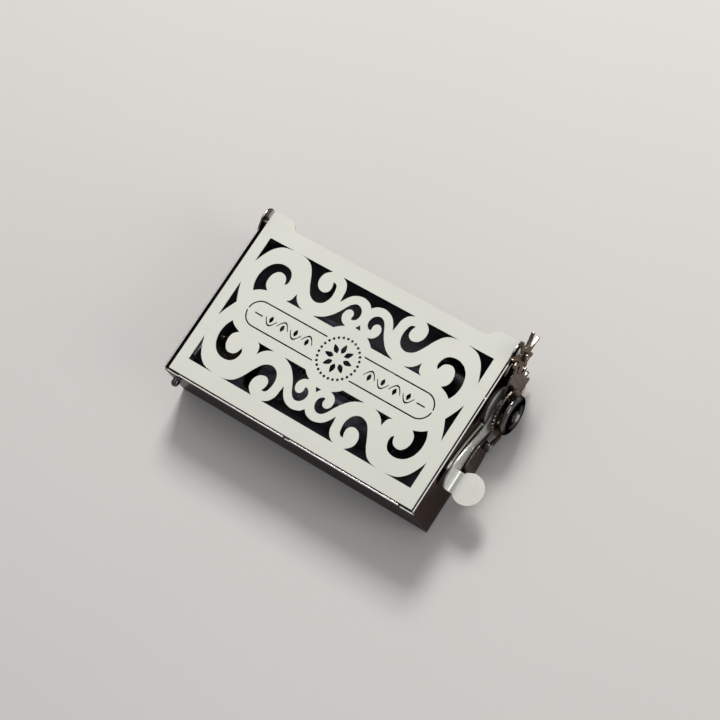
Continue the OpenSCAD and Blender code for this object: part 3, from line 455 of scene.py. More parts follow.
class Finishes:
    """Every finish of the box, made once, with the solids that wear it."""

    PIVOT = (0.0, 14.5 * MM, 9.84 * MM)
    CYLINDER = (0.0, -14.5 * MM, 9.84 * MM)
    GOVERNOR = (0.0, -4.0 * MM, 9.84 * MM)

    def __init__(self) -> None:
        """Makes the materials."""
        # The first colour is the outer walls' painted dark reflection of a brown table in shade; the other
        # two are the brass parts' tones, darkened to paint the shade inside the closed box.
        painted_dark_reflection, brass, shade_darkened = (0.125, 0.108, 0.103), (0.07, 0.055, 0.036), (0.034, 0.033, 0.038)
        self.lid = SatinCoat("satin_coat_lid", (0.69, 0.698, 0.635), 0.42).build()
        self.lid_cut = PolishedSheet("bare_cut_edge", (0.30, 0.29, 0.27), grain=Grain.NONE).build()
        # Outer walls: the dark brownish colour and the dark glancing tint paint in the reflection of a dark
        # brown table in shade.
        self.wall_x = PolishedSheet("wall_x_painted_reflection", painted_dark_reflection, 0.09, Grain.ALONG_X,
                                    rim=(0.27, 0.24, 0.235)).build()
        self.wall_y = PolishedSheet("wall_y_painted_reflection", (0.165, 0.145, 0.14), 0.09, Grain.UPRIGHT,
                                    rim=(0.5, 0.44, 0.42), streaks=0.14).build()
        self.inside = PolishedSheet("bright_inside", (0.42, 0.42, 0.43), 0.2, Grain.ALONG_Z).build()
        self.bright = PolishedSheet("bright_edge", (0.72, 0.71, 0.69), 0.22, Grain.NONE).build()
        self.lever = PolishedSheet("satin_lever", (0.72, 0.725, 0.68), 0.27, streaks=0.08, bare=0.4).build()
        # Gearing and fan: the dark brown tone and strong pale streaks paint in a streaked reflection of a
        # brown table; their broken edges show the bright metal.
        self.gear = PolishedSheet("blanked_gear_painted_reflection", (0.165, 0.138, 0.122), 0.24, Grain.ALONG_Z,
                                  rim=(0.5, 0.42, 0.36), streaks=0.8, light=2.0).build()
        self.fan = PolishedSheet("blanked_fan_painted_reflection", (0.125, 0.112, 0.106), 0.16, Grain.UPRIGHT,
                                 rim=(0.6, 0.54, 0.51), streaks=1.0, light=2.1).build()
        self.nut = PolishedSheet("dark_nut", (0.1, 0.1, 0.1), 0.2, Grain.NONE, rim=(0.4, 0.4, 0.4)).build()
        self.steel = TurnedMetal("turned_steel", (0.5, 0.5, 0.51), 0.26, self.PIVOT).build()
        # Brass wheels, cylinder and governor parts: the brass is darkened to paint the shade inside the
        # closed box.
        self.brass = TurnedMetal("brass_wheels_painted_shade", brass, 0.34, self.PIVOT).build()
        self.brass_cyl = TurnedMetal("brass_cylinder_painted_shade", brass, 0.34, self.CYLINDER).build()
        self.brass_gov = TurnedMetal("brass_governor_painted_shade", brass, 0.34, self.GOVERNOR).build()
        # Barrel and caps: near black, painting the shade inside the closed box.
        self.shade_darkened = TurnedMetal("barrel_painted_shade", shade_darkened, 0.36, self.PIVOT).build()
        self.shade_darkened_caps = TurnedMetal("caps_painted_shade", shade_darkened, 0.36, self.CYLINDER).build()
        # The mainspring is really blued; on the comb the same dark blue paints the shade inside the closed
        # box.
        self.blued_and_shade = TurnedMetal("blued_spring_and_painted_shade", (0.075, 0.082, 0.11), 0.28, self.PIVOT).build()
        self.black = BlackGloss("black_gloss", (0.13, 0.128, 0.13), 0.1).build()
        # Inner parts: the dark navy paints the shade inside the closed box.
        self.interior_shade = DarkGrit("interior_painted_shade", (0.11, 0.112, 0.15), 0.38).build()
        self.lead = DarkGrit("lead_grey", (0.085, 0.09, 0.1), 0.55, metallic=0.8).build()

    def by_node(self) -> dict[str, bpy.types.Material]:
        """Gives the material of every solid of the frame.

        Returns:
            Material by the solid's name.
        """
        groups = {
            self.lid: "lid_panel",
            self.wall_x: "front_plate back_plate",
            self.wall_y: "left_plate right_plate hinge_bracket",
            self.lever: "thumb_lever leaf_spring pivot_boss lever_rivets bush_clip lid_lug_left "
                        "lid_lug_right",
            self.gear: "finger_pinion pinion_nut ratchet_wheel click_pawl",
            self.nut: "knob_nut",
            self.fan: "sector_plate guide_plate",
            self.steel: "guide_posts click_stud leaf_rivets winding_arbor idler_stud "
                        "hinge_pin_left hinge_pin_right comb_screws bearing_screws cylinder_arbor "
                        "governor_arbor fly_arbor stop_rod stop_finger cylinder_pins",
            self.brass: "lever_bush great_wheel idler_wheel",
            self.shade_darkened: "barrel_cover spring_barrel",
            self.shade_darkened_caps: "cylinder_caps",
            self.brass_cyl: "cylinder_wheel governor_drive_wheel",
            self.brass_gov: "governor_wheel fly_vanes",
            self.blued_and_shade: "mainspring comb",
            self.black: "winding_knob stop_button",
            # Inner parts in the dark navy that paints the shade inside the closed box.
            self.interior_shade: "floor_plate right_bearing left_bearing barrel_bearing governor_bearing comb_base "
                        "music_cylinder stop_guide lid_rest corner_posts case_screws",
        }
        return {name: material for material, names in groups.items() for name in names.split()}


# ---------------------------------------------------------------- modelling


class Editing:
    """Edit mode for the length of a with block."""

    def __enter__(self) -> None:
        """Enters edit mode."""
        bpy.ops.object.mode_set(mode="EDIT")

    def __exit__(self, *_: object) -> None:
        """Goes back to object mode."""
        bpy.ops.object.mode_set(mode="OBJECT")


class Shaper:
    """Shapes one new piece with Blender's own tools and hands it to the frame."""

    MERGE = 0.002 * MM
    FLAT = math.radians(0.4)
    SMOOTH = math.radians(50)
    ALONG = 0.9
    NEAR = 1e-6

    def __init__(self, name: str) -> None:
        """Starts a piece.

        Args:
            name: The piece's name.
        """
        self.name = name
        self.object: bpy.types.Object | None = None
        self.dress: list[tuple[bpy.types.Material, FaceTest]] = []
        bpy.ops.object.select_all(action="DESELECT")

    def disc(self, radius: float, length: float, centre: Sequence[float], axis: Axis = Axis.X,
             sides: int = 64) -> "Shaper":
        """Adds a closed round bar.

        Args:
            radius: Its radius.
            length: Its length along the axis.
            centre: Its middle.
            axis: The line that it lies along.
            sides: Number of sides.

        Returns:
            The same shaper.
        """
        bpy.ops.mesh.primitive_cylinder_add(vertices=sides, radius=radius, depth=length, location=centre,
                                            rotation=axis.turn)
        return self._take()

    def block(self, low: Sequence[float], high: Sequence[float]) -> "Shaper":
        """Adds a block.

        Args:
            low: Its lowest corner.
            high: Its highest corner.

        Returns:
            The same shaper.
        """
        bpy.ops.mesh.primitive_cube_add(size=1.0, location=[(a + b) / 2 for a, b in zip(low, high)])
        bpy.context.object.scale = [b - a for a, b in zip(low, high)]
        return self._take()

    def copy_of(self, node: bpy.types.Object) -> "Shaper":
        """Takes a merged copy of a solid of the frame.

        Args:
            node: The solid's object.

        Returns:
            The same shaper.
        """
        mesh = node.data.copy()
        mesh.materials.clear()
        self.object = bpy.data.objects.new(self.name, mesh)
        bpy.context.scene.collection.objects.link(self.object)
        with self.editing():
            bpy.ops.mesh.select_all(action="SELECT")
            bpy.ops.mesh.remove_doubles(threshold=self.MERGE)
            bpy.ops.mesh.dissolve_limited(angle_limit=self.FLAT)
        return self

    def _take(self) -> "Shaper":
        """Adopts the primitive that was just added and puts its place into its mesh."""
        added = bpy.context.object
        bpy.ops.object.transform_apply(location=True, rotation=True, scale=True)
        if self.object is None:
            self.object = added
            self.object.name = self.object.data.name = self.name
        else:
            self.object.select_set(True)
            bpy.context.view_layer.objects.active = self.object
            bpy.ops.object.join()
        self.focus()
        return self

    def focus(self) -> None:
        """Makes the piece the only selected and active object."""
        bpy.ops.object.select_all(action="DESELECT")
        self.object.select_set(True)
        bpy.context.view_layer.objects.active = self.object

    def editing(self) -> Editing:
        """Gives a block in which the piece is in edit mode."""
        self.focus()
        return Editing()

    def pick(self, test: FaceTest) -> int:
        """Selects the faces whose middle and normal pass a test.

        Args:
            test: Takes a face's middle and normal.

        Returns:
            The number of faces selected.
        """
        bpy.ops.mesh.select_mode(type="FACE")
        bpy.ops.mesh.select_all(action="DESELECT")
        mesh = bmesh.from_edit_mesh(self.object.data)
        count = 0
        for face in mesh.faces:
            if test(face.calc_center_median(), face.normal):
                face.select_set(True)
                count += 1
        bmesh.update_edit_mesh(self.object.data)
        return count

    def split(self, place: Point, normal: Point) -> "Shaper":
        """Divides the faces that cross a plane, so that each side can wear its own finish.

        Args:
            place: A point on the plane.
            normal: Its direction.

        Returns:
            The same shaper.
        """
        with self.editing():
            bpy.ops.mesh.select_all(action="SELECT")
            bpy.ops.mesh.bisect(plane_co=place, plane_no=normal)
        return self

    def turned(self, profile: Sequence[tuple[float, float]], start: Sequence[float], axis: Axis = Axis.X,
               sides: int = 64, bore: float = 0.0) -> "Shaper":
        """Draws a turned shape out of a thin disc, one step of its profile after another.

        Args:
            profile: Distance along the axis and radius of each step, in order.
            start: Where the axis begins.
            axis: The line that it is turned about.
            sides: Number of sides.
            bore: Radius of a hole right through it, or 0.

        Returns:
            The same shaper.
        """
        base, unit = Vector(start), axis.step
        (first, radius), (second, _) = profile[0], profile[1]
        self.disc(radius, second - first, base + unit * (first + second) / 2, axis, sides)
        with self.editing():
            self.pick(lambda middle, normal: normal.dot(unit) > self.ALONG
                      and (middle - base).dot(unit) > first)
            self._widen(profile[1][1] / radius, base + unit * second)
            for (here, old), (there, new) in zip(profile[1:], profile[2:]):
                bpy.ops.mesh.extrude_region_move(
                    TRANSFORM_OT_translate={"value": tuple(unit * (there - here))})
                self._widen(new / old, base + unit * there)
            if bore:
                self._bore(bore, base, unit, (profile[0], profile[-1]))
        return self

    def _widen(self, factor: float, centre: Vector) -> None:
        """Scales the selection about a point on the axis."""
        if abs(factor - 1.0) > self.NEAR:
            bpy.ops.transform.resize(value=(factor, factor, factor), center_override=tuple(centre))

    def _bore(self, radius: float, base: Vector, unit: Vector,
              ends: tuple[tuple[float, float], tuple[float, float]]) -> None:
        """Insets both end faces to a bore and bridges them into a hole."""
        for distance, outer in ends:
            self.pick(lambda middle, normal: abs(normal.dot(unit)) > self.ALONG
                      and abs((middle - base).dot(unit) - distance) < 1e-7
                      and (middle - base - unit * distance).length < self.NEAR)
            bpy.ops.mesh.inset(thickness=(outer - radius), use_even_offset=False)
        places = [d for d, _ in ends]
        self.pick(lambda middle, normal: abs(normal.dot(unit)) > self.ALONG
                  and min(abs((middle - base).dot(unit) - d) for d in places) < 1e-7
                  and (middle - base - unit * (middle - base).dot(unit)).length < self.NEAR)
        bpy.ops.mesh.bridge_edge_loops()

    def cut_with(self, cutter: "Shaper") -> "Shaper":
        """Cuts another piece out of this one and discards the cutter.

        Args:
            cutter: The shape to take away.

        Returns:
            The same shaper.
        """
        self.focus()
        tool = self.object.modifiers.new("cut", "BOOLEAN")
        tool.operation, tool.object, tool.solver = "DIFFERENCE", cutter.object, "EXACT"
        bpy.ops.object.modifier_apply(modifier=tool.name)
        bpy.data.objects.remove(cutter.object, do_unlink=True)
        return self

    def rounded(self, width: float, segments: int = 2, angle: float = 40.0, material: int = -1) -> "Shaper":
        """Rounds the piece's sharp edges.

        Args:
            width: Width of the rounding, in metres.
            segments: Steps across it.
            angle: Edges sharper than this, in degrees, are rounded.
            material: Number of the finish of the new faces, or -1 for that of their neighbours.

        Returns:
            The same shaper.
        """
        self.focus()
        bevel = self.object.modifiers.new("round", "BEVEL")
        bevel.width, bevel.segments, bevel.material = width, segments, material
        bevel.limit_method, bevel.angle_limit = "ANGLE", math.radians(angle)
        bpy.ops.object.modifier_apply(modifier=bevel.name)
        return self

    def faces(self, material: bpy.types.Material, test: FaceTest) -> "Shaper":
        """Keeps a second finish for the faces that pass a test.

        Args:
            material: The finish.
            test: Takes a face's middle and normal.

        Returns:
            The same shaper.
        """
        self.dress.append((material, test))
        return self

    def copy_at(self, name: str, shift: Sequence[float]) -> "Shaper":
        """Makes a copy of this piece, with its own mesh, at another place.

        Args:
            name: The copy's name.
            shift: How far it lies from this piece.

        Returns:
            The copy's shaper.
        """
        other = Shaper(name)
        other.object = bpy.data.objects.new(name, self.object.data.copy())
        other.object.data.name = name
        bpy.context.scene.collection.objects.link(other.object)
        other.dress = list(self.dress)
        other.object.data.transform(Matrix.Translation(Vector(shift)))
        return other

    def done(self, body: Body, material: bpy.types.Material, slot: str,
             replaces: Iterable[str] = ()) -> bpy.types.Object:
        """Smooths, dresses and places the finished piece.

        Args:
            body: The moving group that it rides on.
            material: Its main finish.
            slot: The record's material slot; not used.
            replaces: Solids of the frame that it stands for.

        Returns:
            The finished object.
        """
        self.focus()
        bpy.ops.object.shade_smooth_by_angle(angle=self.SMOOTH)
        even = self.object.modifiers.new("even", "WEIGHTED_NORMAL")
        even.keep_sharp = True
        bpy.ops.object.modifier_apply(modifier=even.name)
        mesh = self.object.data
        keep = [face.material_index for face in mesh.polygons]
        mesh.materials.clear()
        for each in [material, *(extra for extra, _ in self.dress)]:
            mesh.materials.append(each)
        for face, index in zip(mesh.polygons, keep):
            face.material_index = min(index, len(self.dress))
            for number, (_, test) in enumerate(self.dress, 1):
                if test(face.center, face.normal):
                    face.material_index = number
        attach(self.object, body.value)
        for name in replaces:
            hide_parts(name)
        log.info("%s: %d faces on %s", self.name, len(mesh.polygons), body.value)
        return self.object


@dataclass
class Bench:
    """What every sub-assembly needs: the frame's solids, their record and the finishes.

    Attributes:
        nodes: The solids by name.
        slots: Material slot of each solid.
        finishes: The finishes.
    """

    nodes: dict[str, bpy.types.Object]
    slots: dict[str, str]
    finishes: Finishes

    def body(self, name: str) -> Body:
        """Gives the moving group of a solid."""
        return Body(self.nodes[name]["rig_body"])

    def middle(self, name: str) -> Vector:
        """Gives the middle of a solid's box."""
        low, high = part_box(name)
        return (low + high) / 2

    def islands(self, name: str) -> list[tuple[Vector, Vector]]:
        """Gives the box of each separate piece in a solid.

        Args:
            name: The solid's name.

        Returns:
            Lowest and highest corner of each piece, in order of X and Y.
        """
        mesh = self.nodes[name].data
        keys = [tuple(round(c * 1e6) for c in v.co) for v in mesh.vertices]
        parent: dict[tuple[int, ...], tuple[int, ...]] = {key: key for key in keys}

        def root(key: tuple[int, ...]) -> tuple[int, ...]:
            """Follows a corner to the first corner of its piece."""
            while parent[key] != key:
                parent[key] = parent[parent[key]]
                key = parent[key]
            return key

        for face in mesh.polygons:
            first = root(keys[face.vertices[0]])
            for index in face.vertices[1:]:
                parent[root(keys[index])] = first
        groups: dict[tuple[int, ...], list[Vector]] = {}
        for key, vertex in zip(keys, mesh.vertices):
            groups.setdefault(root(key), []).append(vertex.co)
        boxes = [tuple(Vector([pick(p[k] for p in group) for k in range(3)]) for pick in (min, max))
                 for group in groups.values()]
        return sorted(boxes, key=lambda b: (round(b[0].x, 5), round(b[0].y, 5)))


# ---------------------------------------------------------------- sub-assemblies


@dataclass
class Assembly:
    """What the sub-assemblies share.

    Attributes:
        bench: The frame and the finishes.
    """

    bench: Bench

    def copy(self, name: str, ending: str) -> Shaper:
        """Takes a merged copy of a solid, with a name that starts with the solid's."""
        return Shaper(f"{name}_{ending}").copy_of(self.bench.nodes[name])

    def place(self, piece: Shaper, name: str, material: bpy.types.Material | None = None) -> None:
        """Finishes a piece that stands for a solid, on that solid's moving group.

        Args:
            piece: The piece.
            name: The solid's name.
            material: Its finish, or None for the solid's own.
        """
        worn = material or self.bench.finishes.by_node()[name]
        piece.done(self.bench.body(name), worn, self.bench.slots[name], [name])


@dataclass
class SheetParts(Assembly):
    """Blanked and machined parts whose sharp edges are broken, one copy for each solid.

    Attributes:
        width: Width of the broken edge of each part, in millimetres.
    """

    width: dict[str, float] = field(default_factory=lambda: {
        "thumb_lever": 0.16, "sector_plate": 0.10, "finger_pinion": 0.14, "ratchet_wheel": 0.09,
        "guide_plate": 0.12, "pivot_boss": 0.14, "hinge_bracket": 0.12, "click_pawl": 0.10,
        "great_wheel": 0.08, "idler_wheel": 0.08, "cylinder_wheel": 0.08, "governor_drive_wheel": 0.08,
        "governor_wheel": 0.08, "comb_base": 0.25, "right_bearing": 0.15, "left_bearing": 0.15,
        "barrel_bearing": 0.15, "governor_bearing": 0.15, "barrel_cover": 0.15, "spring_barrel": 0.12,
        "hinge_pin_left": 0.25, "hinge_pin_right": 0.2, "stop_guide": 0.2, "lid_rest": 0.2,
        "comb_screws": 0.12, "fly_vanes": 0.06, "cylinder_caps": 0.15, "guide_posts": 0.1,
        "bush_clip": 0.08, "click_stud": 0.12, "leaf_spring": 0.08, "leaf_rivets": 0.05,
    })

    def edge(self, name: str) -> bpy.types.Material:
        """Gives the finish of a part's broken edges.

        Args:
            name: The solid's name.

        Returns:
            Bright metal for the gearing, whose faces carry a painted dark reflection, and the part's own
            finish for the rest.
        """
        finishes = self.bench.finishes
        if name in ("finger_pinion", "ratchet_wheel", "sector_plate", "guide_plate", "hinge_bracket"):
            return finishes.lever
        return finishes.by_node()[name]

    def bare_zone(self, name: str) -> FaceTest:
        """Gives the test for the faces that are bright besides the broken edges.

        Args:
            name: The solid's name.

        Returns:
            True for the pinion's hub, and never for the rest.
        """
        hub_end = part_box("hinge_bracket")[1].x + 0.8 * MM
        return lambda middle, normal: name == "finger_pinion" and middle.x < hub_end

    def build(self) -> None:
        """Makes the copies."""
        for name, width in self.width.items():
            piece = self.copy(name, "rounded").rounded(width * MM, material=1)
            self.place(piece.faces(self.edge(name), self.bare_zone(name)), name)


@dataclass
class Case(Assembly):
    """The four walls and the floor: outside, a dark colour that paints in the reflection of a dark table in
    shade; plain bright metal inside and on the rims.

    Attributes:
        edge: Width of the broken edges.
        outward: Direction that each wall faces.
    """

    edge: float = 0.12 * MM
    outward: dict[str, Point] = field(default_factory=lambda: {
        "front_plate": (0.0, -1.0, 0.0), "back_plate": (0.0, 1.0, 0.0),
        "left_plate": (-1.0, 0.0, 0.0), "right_plate": (1.0, 0.0, 0.0),
    })

    def build(self) -> None:
        """Makes the walls."""
        finishes = self.bench.finishes
        lid_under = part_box("lid_panel")[0].z
        for name, way in self.outward.items():
            out = Vector(way)
            wall = self.copy(name, "folded")
            wall.split((0.0, 0.0, lid_under), (0.0, 0.0, 1.0)).rounded(self.edge, material=1)
            # Upward faces get the bright metal and inner faces a lighter copy; the outer faces keep the
            # painted dark reflection.
            wall.faces(finishes.bright, lambda middle, normal: normal.z > 0.9)
            wall.faces(finishes.inside,
                       lambda middle, normal, out=out: normal.dot(out) < -0.9 and middle.z < lid_under)
            self.place(wall, name)
        # The floor plate wears the dark navy that paints the shade inside the closed box.
        self.place(self.copy("floor_plate", "rounded").rounded(self.edge, segments=1), "floor_plate")


@dataclass
class Lid(Assembly):
    """The pierced lid: satin coat on its faces, bare metal in its cut edges.

    Attributes:
        edge: Width of the broken edges.
    """

    edge: float = 0.06 * MM

    def build(self) -> None:
        """Makes the panel and its two lugs."""
        panel = self.copy("lid_panel", "pierced").rounded(self.edge, segments=1, angle=50.0, material=0)
        panel.faces(self.bench.finishes.lid_cut, lambda middle, normal: abs(normal.z) < 0.3)
        self.place(panel, "lid_panel")
        for name in ("lid_lug_left", "lid_lug_right"):
            self.place(self.copy(name, "rounded").rounded(0.1 * MM), name)


@dataclass
class Winding(Assembly):
    """The winding knob and its nut, turned about the winding arbor.

    Attributes:
        bore: Radius of the arbor, with a running gap.
        knob: Distance from the knob's inner face and radius of each step, in millimetres.
        nut: The same for the nut.
    """

    bore: float = 1.52 * MM
    knob: tuple[tuple[float, float], ...] = (
        (0.0, 6.5), (0.28, 7.0), (0.55, 7.3), (0.85, 7.4), (1.2, 7.4), (1.5, 7.28), (1.78, 6.98),
        (1.98, 6.5), (2.1, 5.8), (2.1, 5.2), (2.02, 4.7), (1.8, 4.2), (1.7, 3.7), (1.68, 3.0), (1.7, 2.5),
    )
    nut: tuple[tuple[float, float], ...] = ((0.0, 2.1), (0.2, 2.3), (0.62, 2.3), (0.85, 2.05), (1.0, 1.8))

    def build(self) -> None:
        """Makes the knob and the nut."""
        for name, profile, sides in (("winding_knob", self.knob, 128), ("knob_nut", self.nut, 48)):
            low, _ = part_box(name)
            middle = self.bench.middle(name)
            piece = Shaper(f"{name}_turned").turned([(d * MM, r * MM) for d, r in profile],
                                                    (low.x, middle.y, middle.z), Axis.X, sides, self.bore)
            if name == "knob_nut":
                slot = Shaper("nut_slot").block((low.x + 0.5 * MM, middle.y - 0.3 * MM, middle.z - 3 * MM),
                                                (low.x + 2 * MM, middle.y + 0.3 * MM, middle.z + 3 * MM))
                piece.cut_with(slot)
            self.place(piece, name)


@dataclass
class Screws(Assembly):
    """Slotted screws of the bearings and of the case, modelled once and copied.

    Attributes:
        shank: Radius of the thread.
        head: Radius of the head.
        head_height: Height of the head.
        slot: Width of the slot.
        sides: Number of sides of a screw.
    """

    shank: float = 0.8 * MM
    head: float = 1.4 * MM
    head_height: float = 0.7 * MM
    slot: float = 0.36 * MM
    sides: int = 40

    def slotted(self, name: str, profile: Sequence[tuple[float, float]], foot: Point, start: float,
                end: float) -> Shaper:
        """Turns a screw and saws its slot.

        Args:
            name: The piece's name.
            profile: Height and radius of each step.
            foot: Where its axis begins.
            start: Height at which the saw cut begins.
            end: Height at which it ends.

        Returns:
            The screw's shaper.
        """
        x, y, _ = foot
        screw = Shaper(name).turned(profile, foot, Axis.Z, self.sides)
        return screw.cut_with(Shaper("slot").block((x - 2 * self.head, y - self.slot / 2, start),
                                                   (x + 2 * self.head, y + self.slot / 2, end)))

    def cheese_head(self, name: str, low: Vector, high: Vector) -> Shaper:
        """Models one screw that stands on the floor plate, with its slot on top.

        Args:
            name: The piece's name.
            low: Lowest corner of the solid that it stands for.
            high: Its highest corner.

        Returns:
            The screw's shaper.
        """
        x, y, top = (low.x + high.x) / 2, (low.y + high.y) / 2, high.z - low.z
        neck = top - self.head_height
        profile = ((0.0, self.shank), (neck, self.shank), (neck, self.head), (top - 0.18 * MM, self.head),
                   (top - 0.05 * MM, self.head * 0.93), (top, self.head * 0.8))
        return self.slotted(name, profile, (x, y, low.z), high.z - 0.32 * MM, high.z + MM)

    def countersunk(self, name: str, low: Vector, high: Vector) -> Shaper:
        """Models one screw that comes up through the floor plate, with its slot underneath.

        Args:
            name: The piece's name.
            low: Lowest corner of the solid that it stands for.
            high: Its highest corner.

        Returns:
            The screw's shaper.
        """
        x, y, tall = (low.x + high.x) / 2, (low.y + high.y) / 2, high.z - low.z
        profile = ((0.0, self.head * 0.9), (0.08 * MM, self.head * 0.99), (0.3 * MM, self.head * 0.99),
                   (0.55 * MM, self.shank), (tall - 0.3 * MM, self.shank), (tall, self.shank * 0.6))
        return self.slotted(name, profile, (x, y, low.z), low.z - MM, low.z + 0.3 * MM)

    def build(self) -> None:
        """Makes one screw of each kind and its copies."""
        finishes = self.bench.finishes
        for node, model, finish in (("bearing_screws", self.cheese_head, finishes.steel),
                                    ("case_screws", self.countersunk, finishes.lead)):
            boxes = self.bench.islands(node)
            first = model(f"{node}_1", *boxes[0])
            copies = [first] + [first.copy_at(f"{node}_{k}", low - boxes[0][0])
                                for k, (low, _) in enumerate(boxes[1:], 2)]
            for screw in copies:
                self.place(screw, node, finish)


@dataclass
class Rivets(Assembly):
    """Bright domed rivets and the stud of the thumb lever.

    Attributes:
        node: The solid that holds them all.
        dome: Share of the radius that is left at the top of a head.
        crown: Height of a head's rounding.
    """

    node: str = "lever_rivets"
    dome: float = 0.55
    crown: float = 0.3 * MM

    def build(self) -> None:
        """Turns one rivet for each separate piece of the solid."""
        for number, (low, high) in enumerate(self.bench.islands(self.node), 1):
            middle, radius, length = (low + high) / 2, (high.z - low.z) / 2, high.x - low.x
            crown = min(self.crown, 0.6 * length)
            profile = ((0.0, radius * 0.94), (0.06 * MM, radius), (length - crown, radius),
                       (length - crown * 0.6, radius * 0.94), (length - crown * 0.2, radius * 0.78),
                       (length, radius * self.dome))
            rivet = Shaper(f"lever_rivet_{number}").turned(profile, (low.x, middle.y, middle.z), Axis.X, 32)
            self.place(rivet, self.node, self.bench.finishes.bright)


@dataclass
class Comb(Assembly):
    """The tuned comb: eased teeth, and lead weights hung under the long ones.

    Attributes:
        pitch: Distance between teeth.
        weighted: How many of the teeth carry a weight.
    """

    pitch: float = 1.65 * MM
    weighted: int = 16

    def build(self) -> None:
        """Makes the comb and its weights."""
        low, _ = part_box("comb")
        self.place(self.copy("comb", "eased").rounded(0.05 * MM, segments=1), "comb")
        start = low.x + self.pitch / 2
        wide, front = 0.34 * self.pitch, low.y + 1.4 * MM
        weight = Shaper("comb_weight_1").block((start - wide, front, low.z - 1.7 * MM),
                                               (start + wide, front + 3.2 * MM, low.z - 0.01 * MM))
        with weight.editing():
            weight.pick(lambda middle, normal: normal.y > 0.9)
            bpy.ops.transform.translate(value=(0.0, 1.3 * MM, 0.0))
            weight.pick(lambda middle, normal: normal.z < -0.9)
            bpy.ops.mesh.inset(thickness=0.12 * MM)
            bpy.ops.transform.translate(value=(0.0, 0.0, -0.2 * MM))
        weight.rounded(0.08 * MM)
        pieces = [weight] + [weight.copy_at(f"comb_weight_{k + 1}", (k * self.pitch, 0.0, 0.0))
                             for k in range(1, self.weighted)]
        for number, piece in enumerate(pieces):
            deep = 1.0 - 0.55 * number / self.weighted
            with piece.editing():
                bpy.ops.mesh.select_all(action="SELECT")
                bpy.ops.transform.resize(value=(1.0, 1.0, deep),
                                         center_override=(0.0, 0.0, low.z - 0.01 * MM))
            piece.done(Body.CASE, self.bench.finishes.lead, self.bench.slots["comb_base"])


@dataclass
class Bushes(Assembly):
    """Brass bushes pressed into the bearing plates round the arbor ends.

    Attributes:
        places: Name, bearing face, axis point and bore of each bush, in millimetres.
        wall: Thickness of a bush's rim.
        height: How far it stands out of the plate.
    """

    places: tuple[tuple[str, float, float, float, float], ...] = (
        ("cylinder_bush_right", 32.5, -14.5, 9.84, 1.05), ("cylinder_bush_left", -31.3, -14.5, 9.84, 1.05),
        ("governor_bush", -46.8, -4.0, 9.84, 0.85), ("fly_bush", -46.8, -12.23, 14.59, 0.85),
    )
    wall: float = 0.75 * MM
    height: float = 0.3 * MM

    def build(self) -> None:
        """Makes the bushes."""
        for name, x, y, z, bore in self.places:
            outer = bore * MM + self.wall
            profile = ((0.0, outer), (self.height * 0.6, outer), (self.height, outer - 0.2 * MM))
            bush = Shaper(name).turned(profile, (x * MM, y * MM, z * MM), Axis.X, 40, bore * MM)
            bush.done(Body.CASE, self.bench.finishes.brass_gov, "brass")


@dataclass
class StopSpring(Assembly):
    """The wire coil that holds the stop rod out, between the front wall and the rod's guide.

    Attributes:
        coil: Radius of the coil.
        wire: Radius of the wire.
        turns: Number of turns.
    """

    coil: float = 1.25 * MM
    wire: float = 0.16 * MM
    turns: int = 7

    def build(self) -> None:
        """Makes the coil."""
        rod = self.bench.middle("stop_rod")
        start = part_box("front_plate")[1].y + 0.25 * MM
        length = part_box("stop_guide")[0].y - 0.25 * MM - start
        spring = Shaper("stop_spring")
        bpy.ops.mesh.primitive_circle_add(vertices=10, radius=self.wire, location=(rod.x, start, rod.z),
                                          rotation=(-math.pi / 2, 0.0, 0.0))
        spring.object = bpy.context.object
        spring.object.name = spring.object.data.name = "stop_spring"
        with spring.editing():
            bpy.ops.mesh.select_all(action="SELECT")
            bpy.ops.transform.rotate(value=math.pi / 2, orient_axis="X",
                                     center_override=(rod.x, start, rod.z))
            bpy.ops.transform.translate(value=(self.coil, 0.0, 0.0))
        helix = spring.object.modifiers.new("coil", "SCREW")
        helix.axis, helix.angle, helix.screw_offset = "Z", 2 * math.pi, length / self.turns
        helix.iterations, helix.steps, helix.render_steps = self.turns, 24, 24
        helix.use_merge_vertices = False
        bpy.ops.object.modifier_apply(modifier=helix.name)
        with spring.editing():
            bpy.ops.mesh.select_all(action="SELECT")
            bpy.ops.mesh.remove_doubles(threshold=0.000001)
            bpy.ops.mesh.fill_holes(sides=0)
            bpy.ops.mesh.select_all(action="SELECT")
            bpy.ops.mesh.normals_make_consistent(inside=False)
        bpy.ops.object.transform_apply(location=True, rotation=True, scale=True)
        spring.done(Body.CASE, self.bench.finishes.steel, "turned_steel")


# ---------------------------------------------------------------- studio


@dataclass(frozen=True)
class Lamp:
    """A square lamp.

    Attributes:
        name: Its name.
        place: Where it stands, in metres.
        size: Its side, in metres.
        watts: Its power.
    """

    name: str
    place: Point
    size: float
    watts: float


